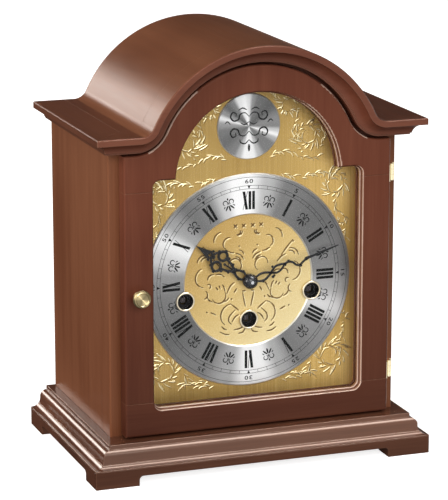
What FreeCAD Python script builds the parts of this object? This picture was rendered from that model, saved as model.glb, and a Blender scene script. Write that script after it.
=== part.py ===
import FreeCAD
import Part
import math
import os
from FreeCAD import Vector

# Key-wound three-train mantel clock in an arched wooden case.
# Millimetres. X to the right, the dial faces -Y, Z up; the origin is the middle of
# the footprint, on the surface that the clock stands on.

# --- driving dimensions: case ---------------------------------------------------
BASE_HALF = 125.0          # half width of the plinth
FRONT = -82.0              # front face of the plinth
BACK = 82.0                # back of the plinth
CASE_BACK = 80.0           # back edge of the side panels
ROOF_BACK = 76.5           # back edge of roof and cornice
FOOT_H = 7.0               # bracket feet stand this far below the rails
PLINTH_TOP = 12.5
PLINTH_T = 18.0            # rail thickness
LEDGE_Z = 28.7             # top of the base moulding
LEDGE_HALF = 112.9
LEDGE_FRONT = -74.1
MOULD_INNER = 95.0         # inner edge of the base moulding
CASE_HALF = 106.4
CASE_FRONT = -55.8
PANEL_T = 9.0
FRAME_BACK = -44.5         # back of the front frame, where the dial plate sits

# --- arched outlines: one family of parallel curves --------------------------------
ARCH_Z = 212.8             # centre height of every crown arch
DOOR_R = 74.0              # arch of the door
SHOULDER_Z = 229.2         # flat shoulder of the door
SWEEP_R = 25.0             # hollow curve from arch to shoulder, at the door
LIP = 2.5                  # gap from the door to the cornice
CROWN = 15.2               # from the door outline to the roof outline
VAULT_T = 6.0              # roof skin
FASCIA = 4.7
EASE = 0.06                # share of the cornice depth taken off its top edge
CORNICE_HALF = 120.8
CORNICE_FRONT = -80.0
LIP_HALF = 111.8
LIP_FRONT = -69.2
PANEL_TOP = SHOULDER_Z + LIP

# --- door and its opening ------------------------------------------------------------
DOOR_HALF = 98.3
DOOR_FRONT = -66.6
DOOR_BACK = -56.1
DOOR_BOTTOM = 30.2
OPEN_HALF = 77.5
OPEN_BOTTOM = 48.0
OPEN_SHOULDER = 211.5
OPEN_ARCH_Z = 207.2
OPEN_R = 61.1
GLASS_T = 2.0
HINGE_X = 102.4
HINGE_Y = -58.9
KNUCKLE_R = 1.9
HINGE_Z = (53.3, 197.6)    # lower end of each door hinge
HINGE_H = 12.0
DOOR_T = 5.0               # thickness of the back door
BACK_PIN_Y = ROOF_BACK + 0.4
KNOB_X = -88.6
KNOB_Z = 131.0

# --- dial and hands -----------------------------------------------------------------
DIAL_Z = 130.0
DIAL_T = 1.5
DIAL_BACK = FRAME_BACK + DIAL_T
RING_R = 77.0
RING_IN = 47.5
RING_T = 1.4
DISC_Z = 240.3
DISC_R = 23.4
WIND_HOLES = {"left": (-47.4, 118.6), "centre": (0.0, 101.6), "right": (47.4, 118.6)}
WELL_R = 5.5
RIM_R = 7.0
HOUR_ANGLE = 305.6         # degrees clockwise from XII
MINUTE_ANGLE = 72.3
HOUR_LEN = 49.0
MINUTE_LEN = 69.6

# --- movement ------------------------------------------------------------------------
PLATE_HALF = 66.0
PLATE_Z = (70.0, 171.0)
PLATE_T = 2.0
FRONT_PLATE = -36.0        # front face of the front plate
BACK_PLATE = -4.0          # front face of the back plate
BARREL_R = 20.5
BARREL_Y = (-31.0, -11.6)
RUN = 0.05                 # radial running clearance
ARBOR_R = 1.2
SQUARE = 3.6               # winding square, for a standard key
SQUARE_END = -40.6         # front of the winding squares, sunk behind the dial
GREAT_TEETH = 144
CENTRE_LEAVES = 12
CENTRE_TEETH = 96
THIRD_LEAVES = 12
CANNON_TEETH = 14
MINUTE_TEETH = 42
MINUTE_LEAVES = 12
HOUR_TEETH = 48
ROD_Y = (20.0, 28.0, 36.0, 44.0, 52.0)
ROD_Z = 46.0
HAMMER_PIVOT = (20.0, 74.0)
HAMMER_REACH = 30.0

NODES = {}


def box(x0, x1, y0, y1, z0, z1):
    return Part.makeBox(x1 - x0, y1 - y0, z1 - z0, Vector(x0, y0, z0))


def rod(radius, x, z, y0, y1):
    """Round bar along Y."""
    return Part.makeCylinder(radius, y1 - y0, Vector(x, y0, z), Vector(0, 1, 0))


def tube(outer, inner, x, z, y0, y1):
    return rod(outer, x, z, y0, y1).cut(rod(inner, x, z, y0 - 1, y1 + 1))


def arc(a, b, c):
    return Part.Arc(a, b, c).toShape()


def line(a, b):
    return Part.LineSegment(a, b).toShape()


def prism(edges, direction):
    return Part.Face(Part.Wire(edges)).extrude(direction)


def fuse(shapes):
    whole = shapes[0]
    for shape in shapes[1:]:
        whole = whole.fuse(shape)
    return whole.removeSplitter()


def mirror_x(shape):
    return shape.mirror(Vector(0, 0, 0), Vector(1, 0, 0))


def add(name, *solids):
    NODES[name] = solids[0] if len(solids) == 1 else Part.makeCompound(list(solids))


# --- outlines ------------------------------------------------------------------------
def crown_edges(offset, half, y):
    """Shoulder, hollow sweep, arch, hollow sweep, shoulder: from -half to +half."""
    rise = SHOULDER_Z + SWEEP_R
    reach = DOOR_R + SWEEP_R
    sweep_x = math.sqrt(reach ** 2 - (rise - ARCH_Z) ** 2)
    arch_r = DOOR_R + offset
    sweep_r = SWEEP_R - offset
    flat = SHOULDER_Z + offset
    join_x = sweep_x * arch_r / reach
    join_z = ARCH_Z + (rise - ARCH_Z) * arch_r / reach
    turn = math.atan2(rise - join_z, sweep_x - join_x)
    middle = 0.5 * (turn + math.pi / 2)
    mid_x = sweep_x - sweep_r * math.cos(middle)
    mid_z = rise - sweep_r * math.sin(middle)
    left = [
        line(Vector(-half, y, flat), Vector(-sweep_x, y, flat)),
        arc(Vector(-sweep_x, y, flat), Vector(-mid_x, y, mid_z), Vector(-join_x, y, join_z)),
    ]
    top = arc(
        Vector(-join_x, y, join_z),
        Vector(0, y, ARCH_Z + arch_r),
        Vector(join_x, y, join_z),
    )
    right = [
        arc(Vector(join_x, y, join_z), Vector(mid_x, y, mid_z), Vector(sweep_x, y, flat)),
        line(Vector(sweep_x, y, flat), Vector(half, y, flat)),
    ]
    return left + [top] + right


def crown_block(offset, half, bottom, y0, y1):
    """Everything under a crown outline, down to a flat bottom."""
    flat = SHOULDER_Z + offset
    sides = [
        line(Vector(half, y0, flat), Vector(half, y0, bottom)),
        line(Vector(half, y0, bottom), Vector(-half, y0, bottom)),
        line(Vector(-half, y0, bottom), Vector(-half, y0, flat)),
    ]
    return prism(crown_edges(offset, half, y0) + sides, Vector(0, y1 - y0, 0))


def opening_block(grow, y0, y1):
    """Rounded door opening with an arched head, grown outwards by grow."""
    half = OPEN_HALF + grow
    low = OPEN_BOTTOM - grow
    shoulder = OPEN_SHOULDER + grow
    body = box(-half, half, y0, y1, low, shoulder)
    corners = [e for e in body.Edges if abs(e.tangentAt(e.FirstParameter).y) > 0.9]
    body = body.makeFillet(6.0 + grow, corners)
    return body.fuse(rod(OPEN_R + grow, 0, OPEN_ARCH_Z, y0, y1)).removeSplitter()


def gear(teeth, module, x, z, y0, y1, phase=0.0):
    """Straight-flanked spur gear with clearance; phase puts a tooth at that angle."""
    pitch_r = 0.5 * teeth * module
    tip = pitch_r + 0.85 * module
    root = pitch_r - 1.15 * module
    step = 2 * math.pi / teeth
    profile = ((root, -0.30), (tip, -0.13), (tip, 0.13), (root, 0.30))
    points = []
    for tooth in range(teeth):
        centre = math.radians(phase) + tooth * step
        for radius, share in profile:
            a = centre + share * step
            points.append(Vector(x + radius * math.sin(a), y0, z + radius * math.cos(a)))
    points.append(points[0])
    return Part.Face(Part.makePolygon(points)).extrude(Vector(0, y1 - y0, 0))


# --- base -----------------------------------------------------------------------------
def plinth_rails():
    """Mitred rails with bracket feet; the back rail stands between the sides."""
    inner = BASE_HALF - PLINTH_T
    front_in = FRONT + PLINTH_T
    corners = [
        Vector(-BASE_HALF, FRONT, 0), Vector(BASE_HALF, FRONT, 0),
        Vector(inner, front_in, 0), Vector(-inner, front_in, 0), Vector(-BASE_HALF, FRONT, 0),
    ]
    front = Part.Face(Part.makePolygon(corners)).extrude(Vector(0, 0, PLINTH_TOP))
    foot = 31.5
    gap = box(-BASE_HALF + foot, BASE_HALF - foot, FRONT - 1, front_in + 1, -1, FOOT_H)
    round_top = [e for e in gap.Edges if abs(e.tangentAt(e.FirstParameter).y) > 0.9]
    round_top = [e for e in round_top if e.CenterOfMass.z > 0]
    front = front.cut(gap.makeFillet(3.0, round_top))
    corners = [
        Vector(BASE_HALF, FRONT, 0), Vector(BASE_HALF, BACK, 0),
        Vector(inner, BACK, 0), Vector(inner, front_in, 0), Vector(BASE_HALF, FRONT, 0),
    ]
    side = Part.Face(Part.makePolygon(corners)).extrude(Vector(0, 0, PLINTH_TOP))
    gap = box(inner - 1, BASE_HALF + 1, FRONT + 24.5, BACK - 29, -1, FOOT_H)
    round_top = [e for e in gap.Edges if abs(e.tangentAt(e.FirstParameter).x) > 0.9]
    round_top = [e for e in round_top if e.CenterOfMass.z > 0]
    side = side.cut(gap.makeFillet(3.0, round_top))
    back = box(-inner, inner, BACK - PLINTH_T, BACK, FOOT_H, PLINTH_TOP)
    add("plinth_rails", front, mirror_x(side), side, back)


def base_profile(step):
    """Moulding section as (inset share, z) turned to points by step(share, z)."""
    depth = BASE_HALF - LEDGE_HALF

    def at(inset, z):
        return step(inset / depth, z)

    return [
        line(at(0, PLINTH_TOP), at(0, 13.4)),
        arc(at(0, 13.4), at(3.5, 13.9), at(5.6, 15.8)),
        line(at(5.6, 15.8), at(6.1, 15.8)),
        arc(at(6.1, 15.8), at(6.9, 18.4), at(7.1, 21.2)),
        arc(at(7.1, 21.2), at(8.6, 24.2), at(11.2, 25.6)),
        line(at(11.2, 25.6), at(depth, 25.6)),
        line(at(depth, 25.6), at(depth, LEDGE_Z)),
    ]


def base_mouldings():
    """Front and side lengths, mitred along the line between their corners."""
    front_depth = LEDGE_FRONT - FRONT
    side_depth = BASE_HALF - LEDGE_HALF
    back_y = -52.0

    def on_front(share, z):
        return Vector(-BASE_HALF, FRONT + share * front_depth, z)

    def on_side(share, z):
        return Vector(BASE_HALF - share * side_depth, FRONT, z)

    edges = base_profile(on_front)
    top = Vector(-BASE_HALF, LEDGE_FRONT, LEDGE_Z)
    low = Vector(-BASE_HALF, FRONT, PLINTH_TOP)
    inner_top = Vector(-BASE_HALF, back_y, LEDGE_Z)
    inner_low = Vector(-BASE_HALF, back_y, PLINTH_TOP)
    edges += [line(top, inner_top), line(inner_top, inner_low), line(inner_low, low)]
    front = prism(edges, Vector(2 * BASE_HALF, 0, 0))
    edges = base_profile(on_side)
    top = Vector(LEDGE_HALF, FRONT, LEDGE_Z)
    low = Vector(BASE_HALF, FRONT, PLINTH_TOP)
    inner_top = Vector(MOULD_INNER, FRONT, LEDGE_Z)
    inner_low = Vector(MOULD_INNER, FRONT, PLINTH_TOP)
    edges += [line(top, inner_top), line(inner_top, inner_low), line(inner_low, low)]
    side = prism(edges, Vector(0, BACK - FRONT, 0))
    # The mitre runs from the plinth corner through the ledge corner to the inner edge.
    mitre_y = FRONT + front_depth * (BASE_HALF - MOULD_INNER) / side_depth
    reach = 40.0
    wedge = [
        Vector(BASE_HALF + side_depth, FRONT - front_depth, 0),
        Vector(MOULD_INNER, mitre_y, 0),
        Vector(MOULD_INNER, BACK + reach, 0),
        Vector(BASE_HALF + reach, BACK + reach, 0),
        Vector(BASE_HALF + side_depth, FRONT - front_depth, 0),
    ]
    outside = Part.Face(Part.makePolygon(wedge)).extrude(Vector(0, 0, 60))
    side = side.common(outside)
    front = front.cut(outside).cut(mirror_x(outside))
    add("base_moulding", front, mirror_x(side), side)
    add("base_board", box(-MOULD_INNER, MOULD_INNER, back_y, BACK, 16.7, LEDGE_Z))


# --- case -----------------------------------------------------------------------------
def side_panels():
    panel = box(CASE_HALF - PANEL_T, CASE_HALF, CASE_FRONT, CASE_BACK, LEDGE_Z, PANEL_TOP)
    arris = [
        e for e in panel.Edges
        if abs(e.CenterOfMass.x - CASE_HALF) < 0.01 and abs(e.CenterOfMass.y - CASE_FRONT) < 0.01
    ]
    panel = panel.makeFillet(1.2, arris)
    add("side_panels", mirror_x(panel), panel)


def front_frame():
    inner = CASE_HALF - PANEL_T
    under_roof = CROWN - VAULT_T
    board = crown_block(under_roof, inner, LEDGE_Z, CASE_FRONT, FRAME_BACK)
    board = board.cut(opening_block(6.0, CASE_FRONT - 1, FRAME_BACK + 1))
    low = board.common(box(-inner, inner, -100, 0, 0, OPEN_BOTTOM - 6.0))
    middle = board.common(box(-inner, inner, -100, 0, OPEN_BOTTOM - 6.0, OPEN_SHOULDER + 6.0))
    head = board.common(box(-inner, inner, -100, 0, OPEN_SHOULDER + 6.0, 400))
    seat = rod(4.0, KNOB_X, KNOB_Z, CASE_FRONT - 1, CASE_FRONT + 3)
    middle = middle.cut(seat)
    add("front_frame", low, head, *middle.Solids)
    add("catch_magnet", rod(4.0, KNOB_X, KNOB_Z, CASE_FRONT - 0.1, CASE_FRONT + 3))


def cornice_section(at):
    """Fascia, quirk and cove from the outer edge in to the lip."""
    depth = CROWN - LIP
    return [
        line(at(0, EASE), at(0.6, 0)),
        line(at(0.6, 0), at(FASCIA, 0)),
        line(at(FASCIA, 0), at(FASCIA, 0.09)),
        arc(at(FASCIA, 0.09), at(FASCIA + 1.9, 0.62), at(depth - 1.1, 0.91)),
        line(at(depth - 1.1, 0.91), at(depth - 1.1, 1.0)),
        line(at(depth - 1.1, 1.0), at(depth, 1.0)),
    ]


def cornice():
    """Arched front moulding swept along the crown, with side lengths mitred to it."""
    top_z = SHOULDER_Z + CROWN
    run = LIP_FRONT - CORNICE_FRONT
    side_run = CORNICE_HALF - LIP_HALF
    depth = CROWN - LIP

    def on_front(drop, share):
        return Vector(-CORNICE_HALF, CORNICE_FRONT + share * run, top_z - drop)

    def on_side(drop, share):
        return Vector(CORNICE_HALF - share * side_run, CORNICE_FRONT, top_z - drop)

    edges = cornice_section(on_front)
    back_low = Vector(-CORNICE_HALF, CASE_FRONT, top_z - depth)
    back_top = Vector(-CORNICE_HALF, CASE_FRONT, top_z)
    edges += [
        line(on_front(depth, 1.0), back_low),
        line(back_low, back_top),
        line(back_top, on_front(0, EASE)),
    ]
    path = Part.Wire(crown_edges(CROWN, CORNICE_HALF, CORNICE_FRONT))
    front = path.makePipeShell([Part.Wire(edges)], True, False)
    edges = cornice_section(on_side)
    inner = CASE_HALF - PANEL_T
    in_low = Vector(inner, CORNICE_FRONT, top_z - depth)
    in_top = Vector(inner, CORNICE_FRONT, top_z)
    edges += [
        line(on_side(depth, 1.0), in_low),
        line(in_low, in_top),
        line(in_top, on_side(0, EASE)),
    ]
    side = prism(edges, Vector(0, ROOF_BACK - CORNICE_FRONT, 0))
    mitre_x = CORNICE_HALF - side_run * (CASE_FRONT - CORNICE_FRONT) / run
    reach = 40.0
    wedge = [
        Vector(CORNICE_HALF + side_run, CORNICE_FRONT - run, 200),
        Vector(mitre_x, CASE_FRONT, 200),
        Vector(mitre_x, BACK + reach, 200),
        Vector(CORNICE_HALF + reach, BACK + reach, 200),
        Vector(CORNICE_HALF + side_run, CORNICE_FRONT - run, 200),
    ]
    outside = Part.Face(Part.makePolygon(wedge)).extrude(Vector(0, 0, 80))
    strip = box(inner, mitre_x + 0.001, CASE_FRONT, ROOF_BACK, 200, 280)
    side = side.common(outside.fuse(strip))
    front = front.cut(outside).cut(mirror_x(outside))
    add("cornice_front", front)
    add("cornice_sides", mirror_x(side), side)


def roof():
    inner = CASE_HALF - PANEL_T
    outer = crown_block(CROWN, inner, 200, CASE_FRONT, ROOF_BACK)
    hollow = crown_block(CROWN - VAULT_T, inner + 5, 190, CASE_FRONT - 1, ROOF_BACK + 1)
    add("roof_vault", outer.cut(hollow))


# --- back door ------------------------------------------------------------------------
def back_door():
    """Thin arched door let into the back, with a finger hole and a magnetic catch."""
    gap = 0.5
    half = CASE_HALF - PANEL_T - gap
    outer_y = ROOF_BACK - 1.5
    inner_y = outer_y - DOOR_T
    panel = crown_block(CROWN - VAULT_T - gap, half, LEDGE_Z + gap, inner_y, outer_y)
    panel = panel.cut(rod(8.0, -80.0, 130.0, inner_y - 1, outer_y + 1))
    for row in range(4):
        for column in range(7):
            x = 12.0 * (column - 3)
            z = 54.0 + 12.0 * row
            panel = panel.cut(rod(2.5, x, z, inner_y - 1, outer_y + 1))
    pin_x = CASE_HALF - PANEL_T - 1.8
    pin_y = BACK_PIN_Y
    leaves = []
    knuckles = []
    pins = []
    for z in (55.0, 190.0):
        third = 4.0
        pins.append(Part.makeCylinder(0.7, 3 * third, Vector(pin_x, pin_y, z)))
        for level in (0, 2):
            barrel = Part.makeCylinder(1.5, third - 0.1, Vector(pin_x, pin_y, z + level * third + 0.05))
            arm = box(pin_x, CASE_HALF - PANEL_T, pin_y - 0.9, pin_y + 0.9, z + level * third + 0.05,
                      z + (level + 1) * third - 0.05)
            bore = Part.makeCylinder(0.7, 3 * third, Vector(pin_x, pin_y, z))
            knuckles.append(fuse([barrel, arm]).cut(bore))
        barrel = Part.makeCylinder(1.5, third - 0.1, Vector(pin_x, pin_y, z + third + 0.05))
        leaf = box(pin_x - 12, pin_x, outer_y, outer_y + 0.8, z + third + 0.05, z + 2 * third - 0.05)
        foot = box(pin_x - 1.0, pin_x, outer_y, pin_y, z + third + 0.05, z + 2 * third - 0.05)
        bore = Part.makeCylinder(0.7 + RUN, 3 * third, Vector(pin_x, pin_y, z))
        leaves.append(fuse([barrel, leaf, foot]).cut(bore))
    add("back_door", panel)
    add("back_hinge_leaves", *leaves)
    add("back_hinge_knuckles", *knuckles, *pins)
    stop_half = CASE_HALF - PANEL_T
    stop_back = inner_y - 0.5
    stop = box(stop_half - 8, stop_half, stop_back - 8, stop_back, LEDGE_Z, 225)
    add("back_stops", mirror_x(stop), stop)


# --- front door -----------------------------------------------------------------------
def front_door():
    """Two stiles, a bottom rail and an arched head around a stepped opening."""
    slab = crown_block(0.0, DOOR_HALF, DOOR_BOTTOM, DOOR_FRONT, DOOR_BACK)
    rim = [
        e for e in slab.Edges
        if abs(e.CenterOfMass.y - DOOR_FRONT) < 0.01
    ]
    slab = slab.makeFillet(1.3, rim)
    step_y = DOOR_FRONT + 3.2
    rebate_y = DOOR_FRONT + 6.4
    mouth = opening_block(0.0, DOOR_FRONT - 1, step_y)
    throat = opening_block(-1.2, step_y - 0.5, rebate_y + 0.5)
    rebate = opening_block(2.5, rebate_y, DOOR_BACK + 1)
    slab = slab.cut(mouth).cut(throat).cut(rebate)
    slab = round_opening(slab)
    split_low = OPEN_BOTTOM + 6.0
    split_high = OPEN_SHOULDER - 8.0
    low = slab.common(box(-120, 120, -90, 0, 0, split_low))
    sides = slab.common(box(-120, 120, -90, 0, split_low, split_high))
    head = slab.common(box(-120, 120, -90, 0, split_high, 400))
    left = sides.common(box(-120, 0, -90, 0, 0, 400))
    right = sides.common(box(0, 120, -90, 0, 0, 400))
    bore = rod(1.5, KNOB_X, KNOB_Z, DOOR_FRONT - 1, DOOR_BACK + 1)
    seat = rod(4.0, KNOB_X, KNOB_Z, DOOR_BACK - 1.5, DOOR_BACK + 1)
    left = left.cut(bore).cut(seat)
    add("door_bottom_rail", low)
    add("door_stiles", left, right)
    add("door_head", head)
    pane_y = rebate_y
    pane = opening_block(2.2, pane_y, pane_y + GLASS_T)
    bead = opening_block(2.4, pane_y + GLASS_T, DOOR_BACK)
    bead = bead.cut(opening_block(-1.4, pane_y, DOOR_BACK + 1))
    add("door_glass", pane)
    add("glass_bead", bead)


def round_opening(slab):
    """Ease the two visible edges of the opening, where the cutters left them sharp."""
    step_y = DOOR_FRONT + 3.2
    eased = []
    for edge in slab.Edges:
        centre = edge.BoundBox
        flat = centre.YLength < 0.01
        inside = abs(centre.Center.x) < OPEN_HALF + 1 and centre.ZMin > OPEN_BOTTOM - 2
        at_front = abs(centre.Center.y - DOOR_FRONT) < 0.01
        at_step = abs(centre.Center.y - step_y) < 0.01
        if flat and inside and at_front and centre.ZMax < OPEN_ARCH_Z + OPEN_R + 1:
            eased.append(edge)
        if flat and at_step and is_throat_edge(edge):
            eased.append(edge)
    return slab.makeFillet(0.9, eased)


def is_throat_edge(edge):
    """The inner edge of the step stands 1.2 inside the mouth."""
    middle = edge.valueAt(0.5 * (edge.FirstParameter + edge.LastParameter))
    if middle.z > OPEN_SHOULDER + 0.5:
        return abs(math.hypot(middle.x, middle.z - OPEN_ARCH_Z) - (OPEN_R - 1.2)) < 0.1
    near_side = abs(abs(middle.x) - (OPEN_HALF - 1.2)) < 0.1
    near_low = abs(middle.z - (OPEN_BOTTOM + 1.2)) < 0.1
    near_shoulder = abs(middle.z - (OPEN_SHOULDER - 1.2)) < 0.1
    corner = edge.Curve.TypeId == "Part::GeomCircle" and edge.Curve.Radius < 5.5
    return near_side or near_low or near_shoulder or corner


def door_hinges():
    """Brass butts: the case leaf carries the end knuckles, the door leaf the middle one."""
    door_leaves = []
    case_leaves = []
    pins = []
    third = HINGE_H / 3
    for z in HINGE_Z:
        bore = Part.makeCylinder(0.8, HINGE_H + 2, Vector(HINGE_X, HINGE_Y, z - 1))
        running = Part.makeCylinder(0.8 + RUN, HINGE_H + 2, Vector(HINGE_X, HINGE_Y, z - 1))
        leaf = box(HINGE_X - 2.6, HINGE_X + 3.4, CASE_FRONT - 0.8, CASE_FRONT, z, z + HINGE_H)
        parts = [leaf]
        for level in (0, 2):
            low = z + level * third + (0.05 if level else 0)
            high = z + (level + 1) * third - (0 if level else 0.05)
            parts.append(Part.makeCylinder(KNUCKLE_R, high - low, Vector(HINGE_X, HINGE_Y, low)))
            parts.append(box(HINGE_X - 1.2, HINGE_X + 1.2, HINGE_Y, CASE_FRONT - 0.5, low, high))
        case_leaves.append(fuse(parts).cut(bore))
        low = z + third + 0.05
        high = z + 2 * third - 0.05
        knuckle = Part.makeCylinder(KNUCKLE_R, high - low, Vector(HINGE_X, HINGE_Y, low))
        bridge = box(DOOR_HALF, HINGE_X, HINGE_Y - 0.5, HINGE_Y + 0.5, low, high)
        plate = box(DOOR_HALF, DOOR_HALF + 0.8, DOOR_FRONT + 2, DOOR_BACK - 0.4, z, z + HINGE_H)
        door_leaves.append(fuse([knuckle, bridge, plate]).cut(running))
        pins.append(Part.makeCylinder(0.8, HINGE_H, Vector(HINGE_X, HINGE_Y, z)))
    add("hinge_door_leaves", *door_leaves)
    add("hinge_case_leaves", *case_leaves)
    add("hinge_pins", *pins)


def door_knob():
    """Turned brass knob with a dished face, held by a screw from behind."""
    y = DOOR_FRONT
    profile = [
        Vector(0, y, 0), Vector(3.6, y, 0), Vector(3.6, y - 0.8, 0), Vector(2.4, y - 1.6, 0),
        Vector(2.4, y - 4.2, 0), Vector(5.4, y - 6.2, 0), Vector(6.3, y - 7.6, 0),
        Vector(6.3, y - 8.8, 0), Vector(5.6, y - 9.9, 0), Vector(4.7, y - 10.2, 0),
        Vector(4.2, y - 9.7, 0), Vector(0, y - 9.2, 0), Vector(0, y, 0),
    ]
    knob = Part.Face(Part.makePolygon(profile))
    knob = knob.revolve(Vector(0, 0, 0), Vector(0, 1, 0), 360)
    knob.translate(Vector(KNOB_X, 0, KNOB_Z))
    screw = rod(1.5, KNOB_X, KNOB_Z, DOOR_FRONT - 4, DOOR_BACK - 1.5)
    knob = knob.cut(screw)
    add("door_knob", knob)
    add("knob_screw", screw)
    add("catch_strike", rod(4.0, KNOB_X, KNOB_Z, DOOR_BACK - 1.5, DOOR_BACK))


# --- dial -----------------------------------------------------------------------------
def dial():
    plate = opening_block(8.0, FRAME_BACK, DIAL_BACK)
    ring_front = FRAME_BACK - RING_T
    rims = []
    wells = []
    for x, z in WIND_HOLES.values():
        plate = plate.cut(rod(RIM_R - 0.8, x, z, FRAME_BACK - 1, DIAL_BACK + 1))
        rims.append(Part.makeTorus(RIM_R - 0.75, 0.75, Vector(x, ring_front - 0.3, z), Vector(0, 1, 0)))
        wells.append(tube(RIM_R - 0.8, WELL_R, x, z, ring_front - 0.3, DIAL_BACK + 4))
    centre_hole = rod(4.5, 0, DIAL_Z, FRAME_BACK - 1, DIAL_BACK + 1)
    add("dial_plate", plate.cut(centre_hole))
    ring = tube(RING_R, RING_IN, 0, DIAL_Z, ring_front, FRAME_BACK)
    bevel = [e for e in ring.Edges if abs(e.CenterOfMass.y - ring_front) < 0.01]
    ring = ring.makeChamfer(0.8, bevel)
    for x, z in WIND_HOLES.values():
        ring = ring.cut(rod(RIM_R, x, z, ring_front - 1, FRAME_BACK + 1))
    add("chapter_ring", ring)
    disc = rod(DISC_R, 0, DISC_Z, ring_front + 0.2, FRAME_BACK)
    rim = [e for e in disc.Edges if abs(e.CenterOfMass.y - ring_front - 0.2) < 0.01]
    add("arch_disc", disc.makeChamfer(0.6, rim))
    rims = [rim_ring.cut(well_tool) for rim_ring, well_tool in zip(rims, wells)]
    grommets = [fuse([well, lip]) for well, lip in zip(wells, rims)]
    add("winding_grommets", *grommets)
    posts = []
    for x in (-58.0, 58.0):
        for z in (82.0, 160.0):
            posts.append(rod(3.0, x, z, DIAL_BACK, FRONT_PLATE))
    add("dial_posts", *posts)


def hand_blank(length, half, y0, y1, rings, hub_r):
    """Pierced hand pointing to XII: a tapering blade with open rings along it."""
    points = [
        Vector(-half, y0, 0), Vector(half, y0, 0), Vector(0.35, y0, length),
        Vector(-0.35, y0, length), Vector(-half, y0, 0),
    ]
    parts = [Part.Face(Part.makePolygon(points)).extrude(Vector(0, y1 - y0, 0))]
    holes = []
    for x, z, radius in rings:
        parts.append(rod(radius, x, z, y0, y1))
        holes.append(rod(radius - 1.0, x, z, y0 - 1, y1 + 1))
    parts.append(rod(hub_r, 0, 0, y0, y1))
    hand = fuse(parts)
    for hole in holes:
        hand = hand.cut(hole)
    return hand


def turned(shape, angle):
    shape.rotate(Vector(0, 0, 0), Vector(0, 1, 0), angle)
    shape.translate(Vector(0, 0, DIAL_Z))
    return shape


def hands():
    hour_y = (-48.7, -47.8)
    minute_y = (-50.3, -49.4)
    hour_rings = [(-4.4, 27.8, 4.2), (4.4, 27.8, 4.2), (0, 36.7, 2.4), (0, 11.3, 3.4)]
    hour = hand_blank(HOUR_LEN, 0.9, hour_y[0], hour_y[1], hour_rings, 5.2)
    hour = hour.cut(rod(2.6, 0, 0, -60, -40))
    minute_rings = [(0, 10.2, 2.6), (0, 16.8, 1.9), (0, 23.0, 2.2)]
    minute = hand_blank(MINUTE_LEN, 0.9, minute_y[0], minute_y[1], minute_rings, 4.6)
    minute = minute.cut(rod(ARBOR_R, 0, 0, -60, -40))
    add("hour_hand", turned(hour, HOUR_ANGLE))
    add("minute_hand", turned(minute, MINUTE_ANGLE))
    boss = Part.makeSphere(5.8, Vector(0, -48.2, DIAL_Z))
    boss = boss.common(box(-8, 8, -60, minute_y[0], DIAL_Z - 8, DIAL_Z + 8))
    add("hand_nut", boss.cut(rod(ARBOR_R, 0, DIAL_Z, -60, -40)))


# --- motion work ------------------------------------------------------------------------
MOTION_GAP = 12.6
MINUTE_POST = (MOTION_GAP * math.sin(math.radians(45)), DIAL_Z + MOTION_GAP * math.cos(math.radians(45)))


def motion_work():
    """Cannon pinion, minute wheel and hour wheel: twelve to one."""
    fine = 2 * MOTION_GAP / (CANNON_TEETH + MINUTE_TEETH)
    coarse = 2 * MOTION_GAP / (MINUTE_LEAVES + HOUR_TEETH)
    cannon_y = (-37.9, -36.7)
    hour_y = (-40.2, -39.0)
    post_x, post_z = MINUTE_POST
    cannon = gear(CANNON_TEETH, fine, 0, DIAL_Z, cannon_y[0], cannon_y[1], 45.0)
    pipe = rod(1.9, 0, DIAL_Z, -49.4, -36.4)
    cannon = fuse([cannon, pipe]).cut(rod(ARBOR_R, 0, DIAL_Z, -60, -30))
    half_tooth = 180.0 / MINUTE_TEETH
    wheel = gear(MINUTE_TEETH, fine, post_x, post_z, cannon_y[0], cannon_y[1], 225.0 + half_tooth)
    leaves = gear(MINUTE_LEAVES, coarse, post_x, post_z, -40.4, cannon_y[0], 225.0)
    wheel = fuse([wheel, leaves]).cut(rod(0.9 + RUN, post_x, post_z, -60, -30))
    half_tooth = 180.0 / HOUR_TEETH
    hour = gear(HOUR_TEETH, coarse, 0, DIAL_Z, hour_y[0], hour_y[1], 45.0 + half_tooth)
    hour_pipe = rod(2.6, 0, DIAL_Z, -48.7, hour_y[1])
    hour = fuse([hour, hour_pipe]).cut(rod(1.9 + RUN, 0, DIAL_Z, -60, -30))
    add("cannon_pinion", cannon)
    add("minute_wheel", wheel)
    add("hour_wheel", hour)


# --- movement ---------------------------------------------------------------------------
THIRD_GAP = 16.2
THIRD_ARBOR = (-THIRD_GAP * math.sin(math.radians(45)), DIAL_Z + THIRD_GAP * math.cos(math.radians(45)))


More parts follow.
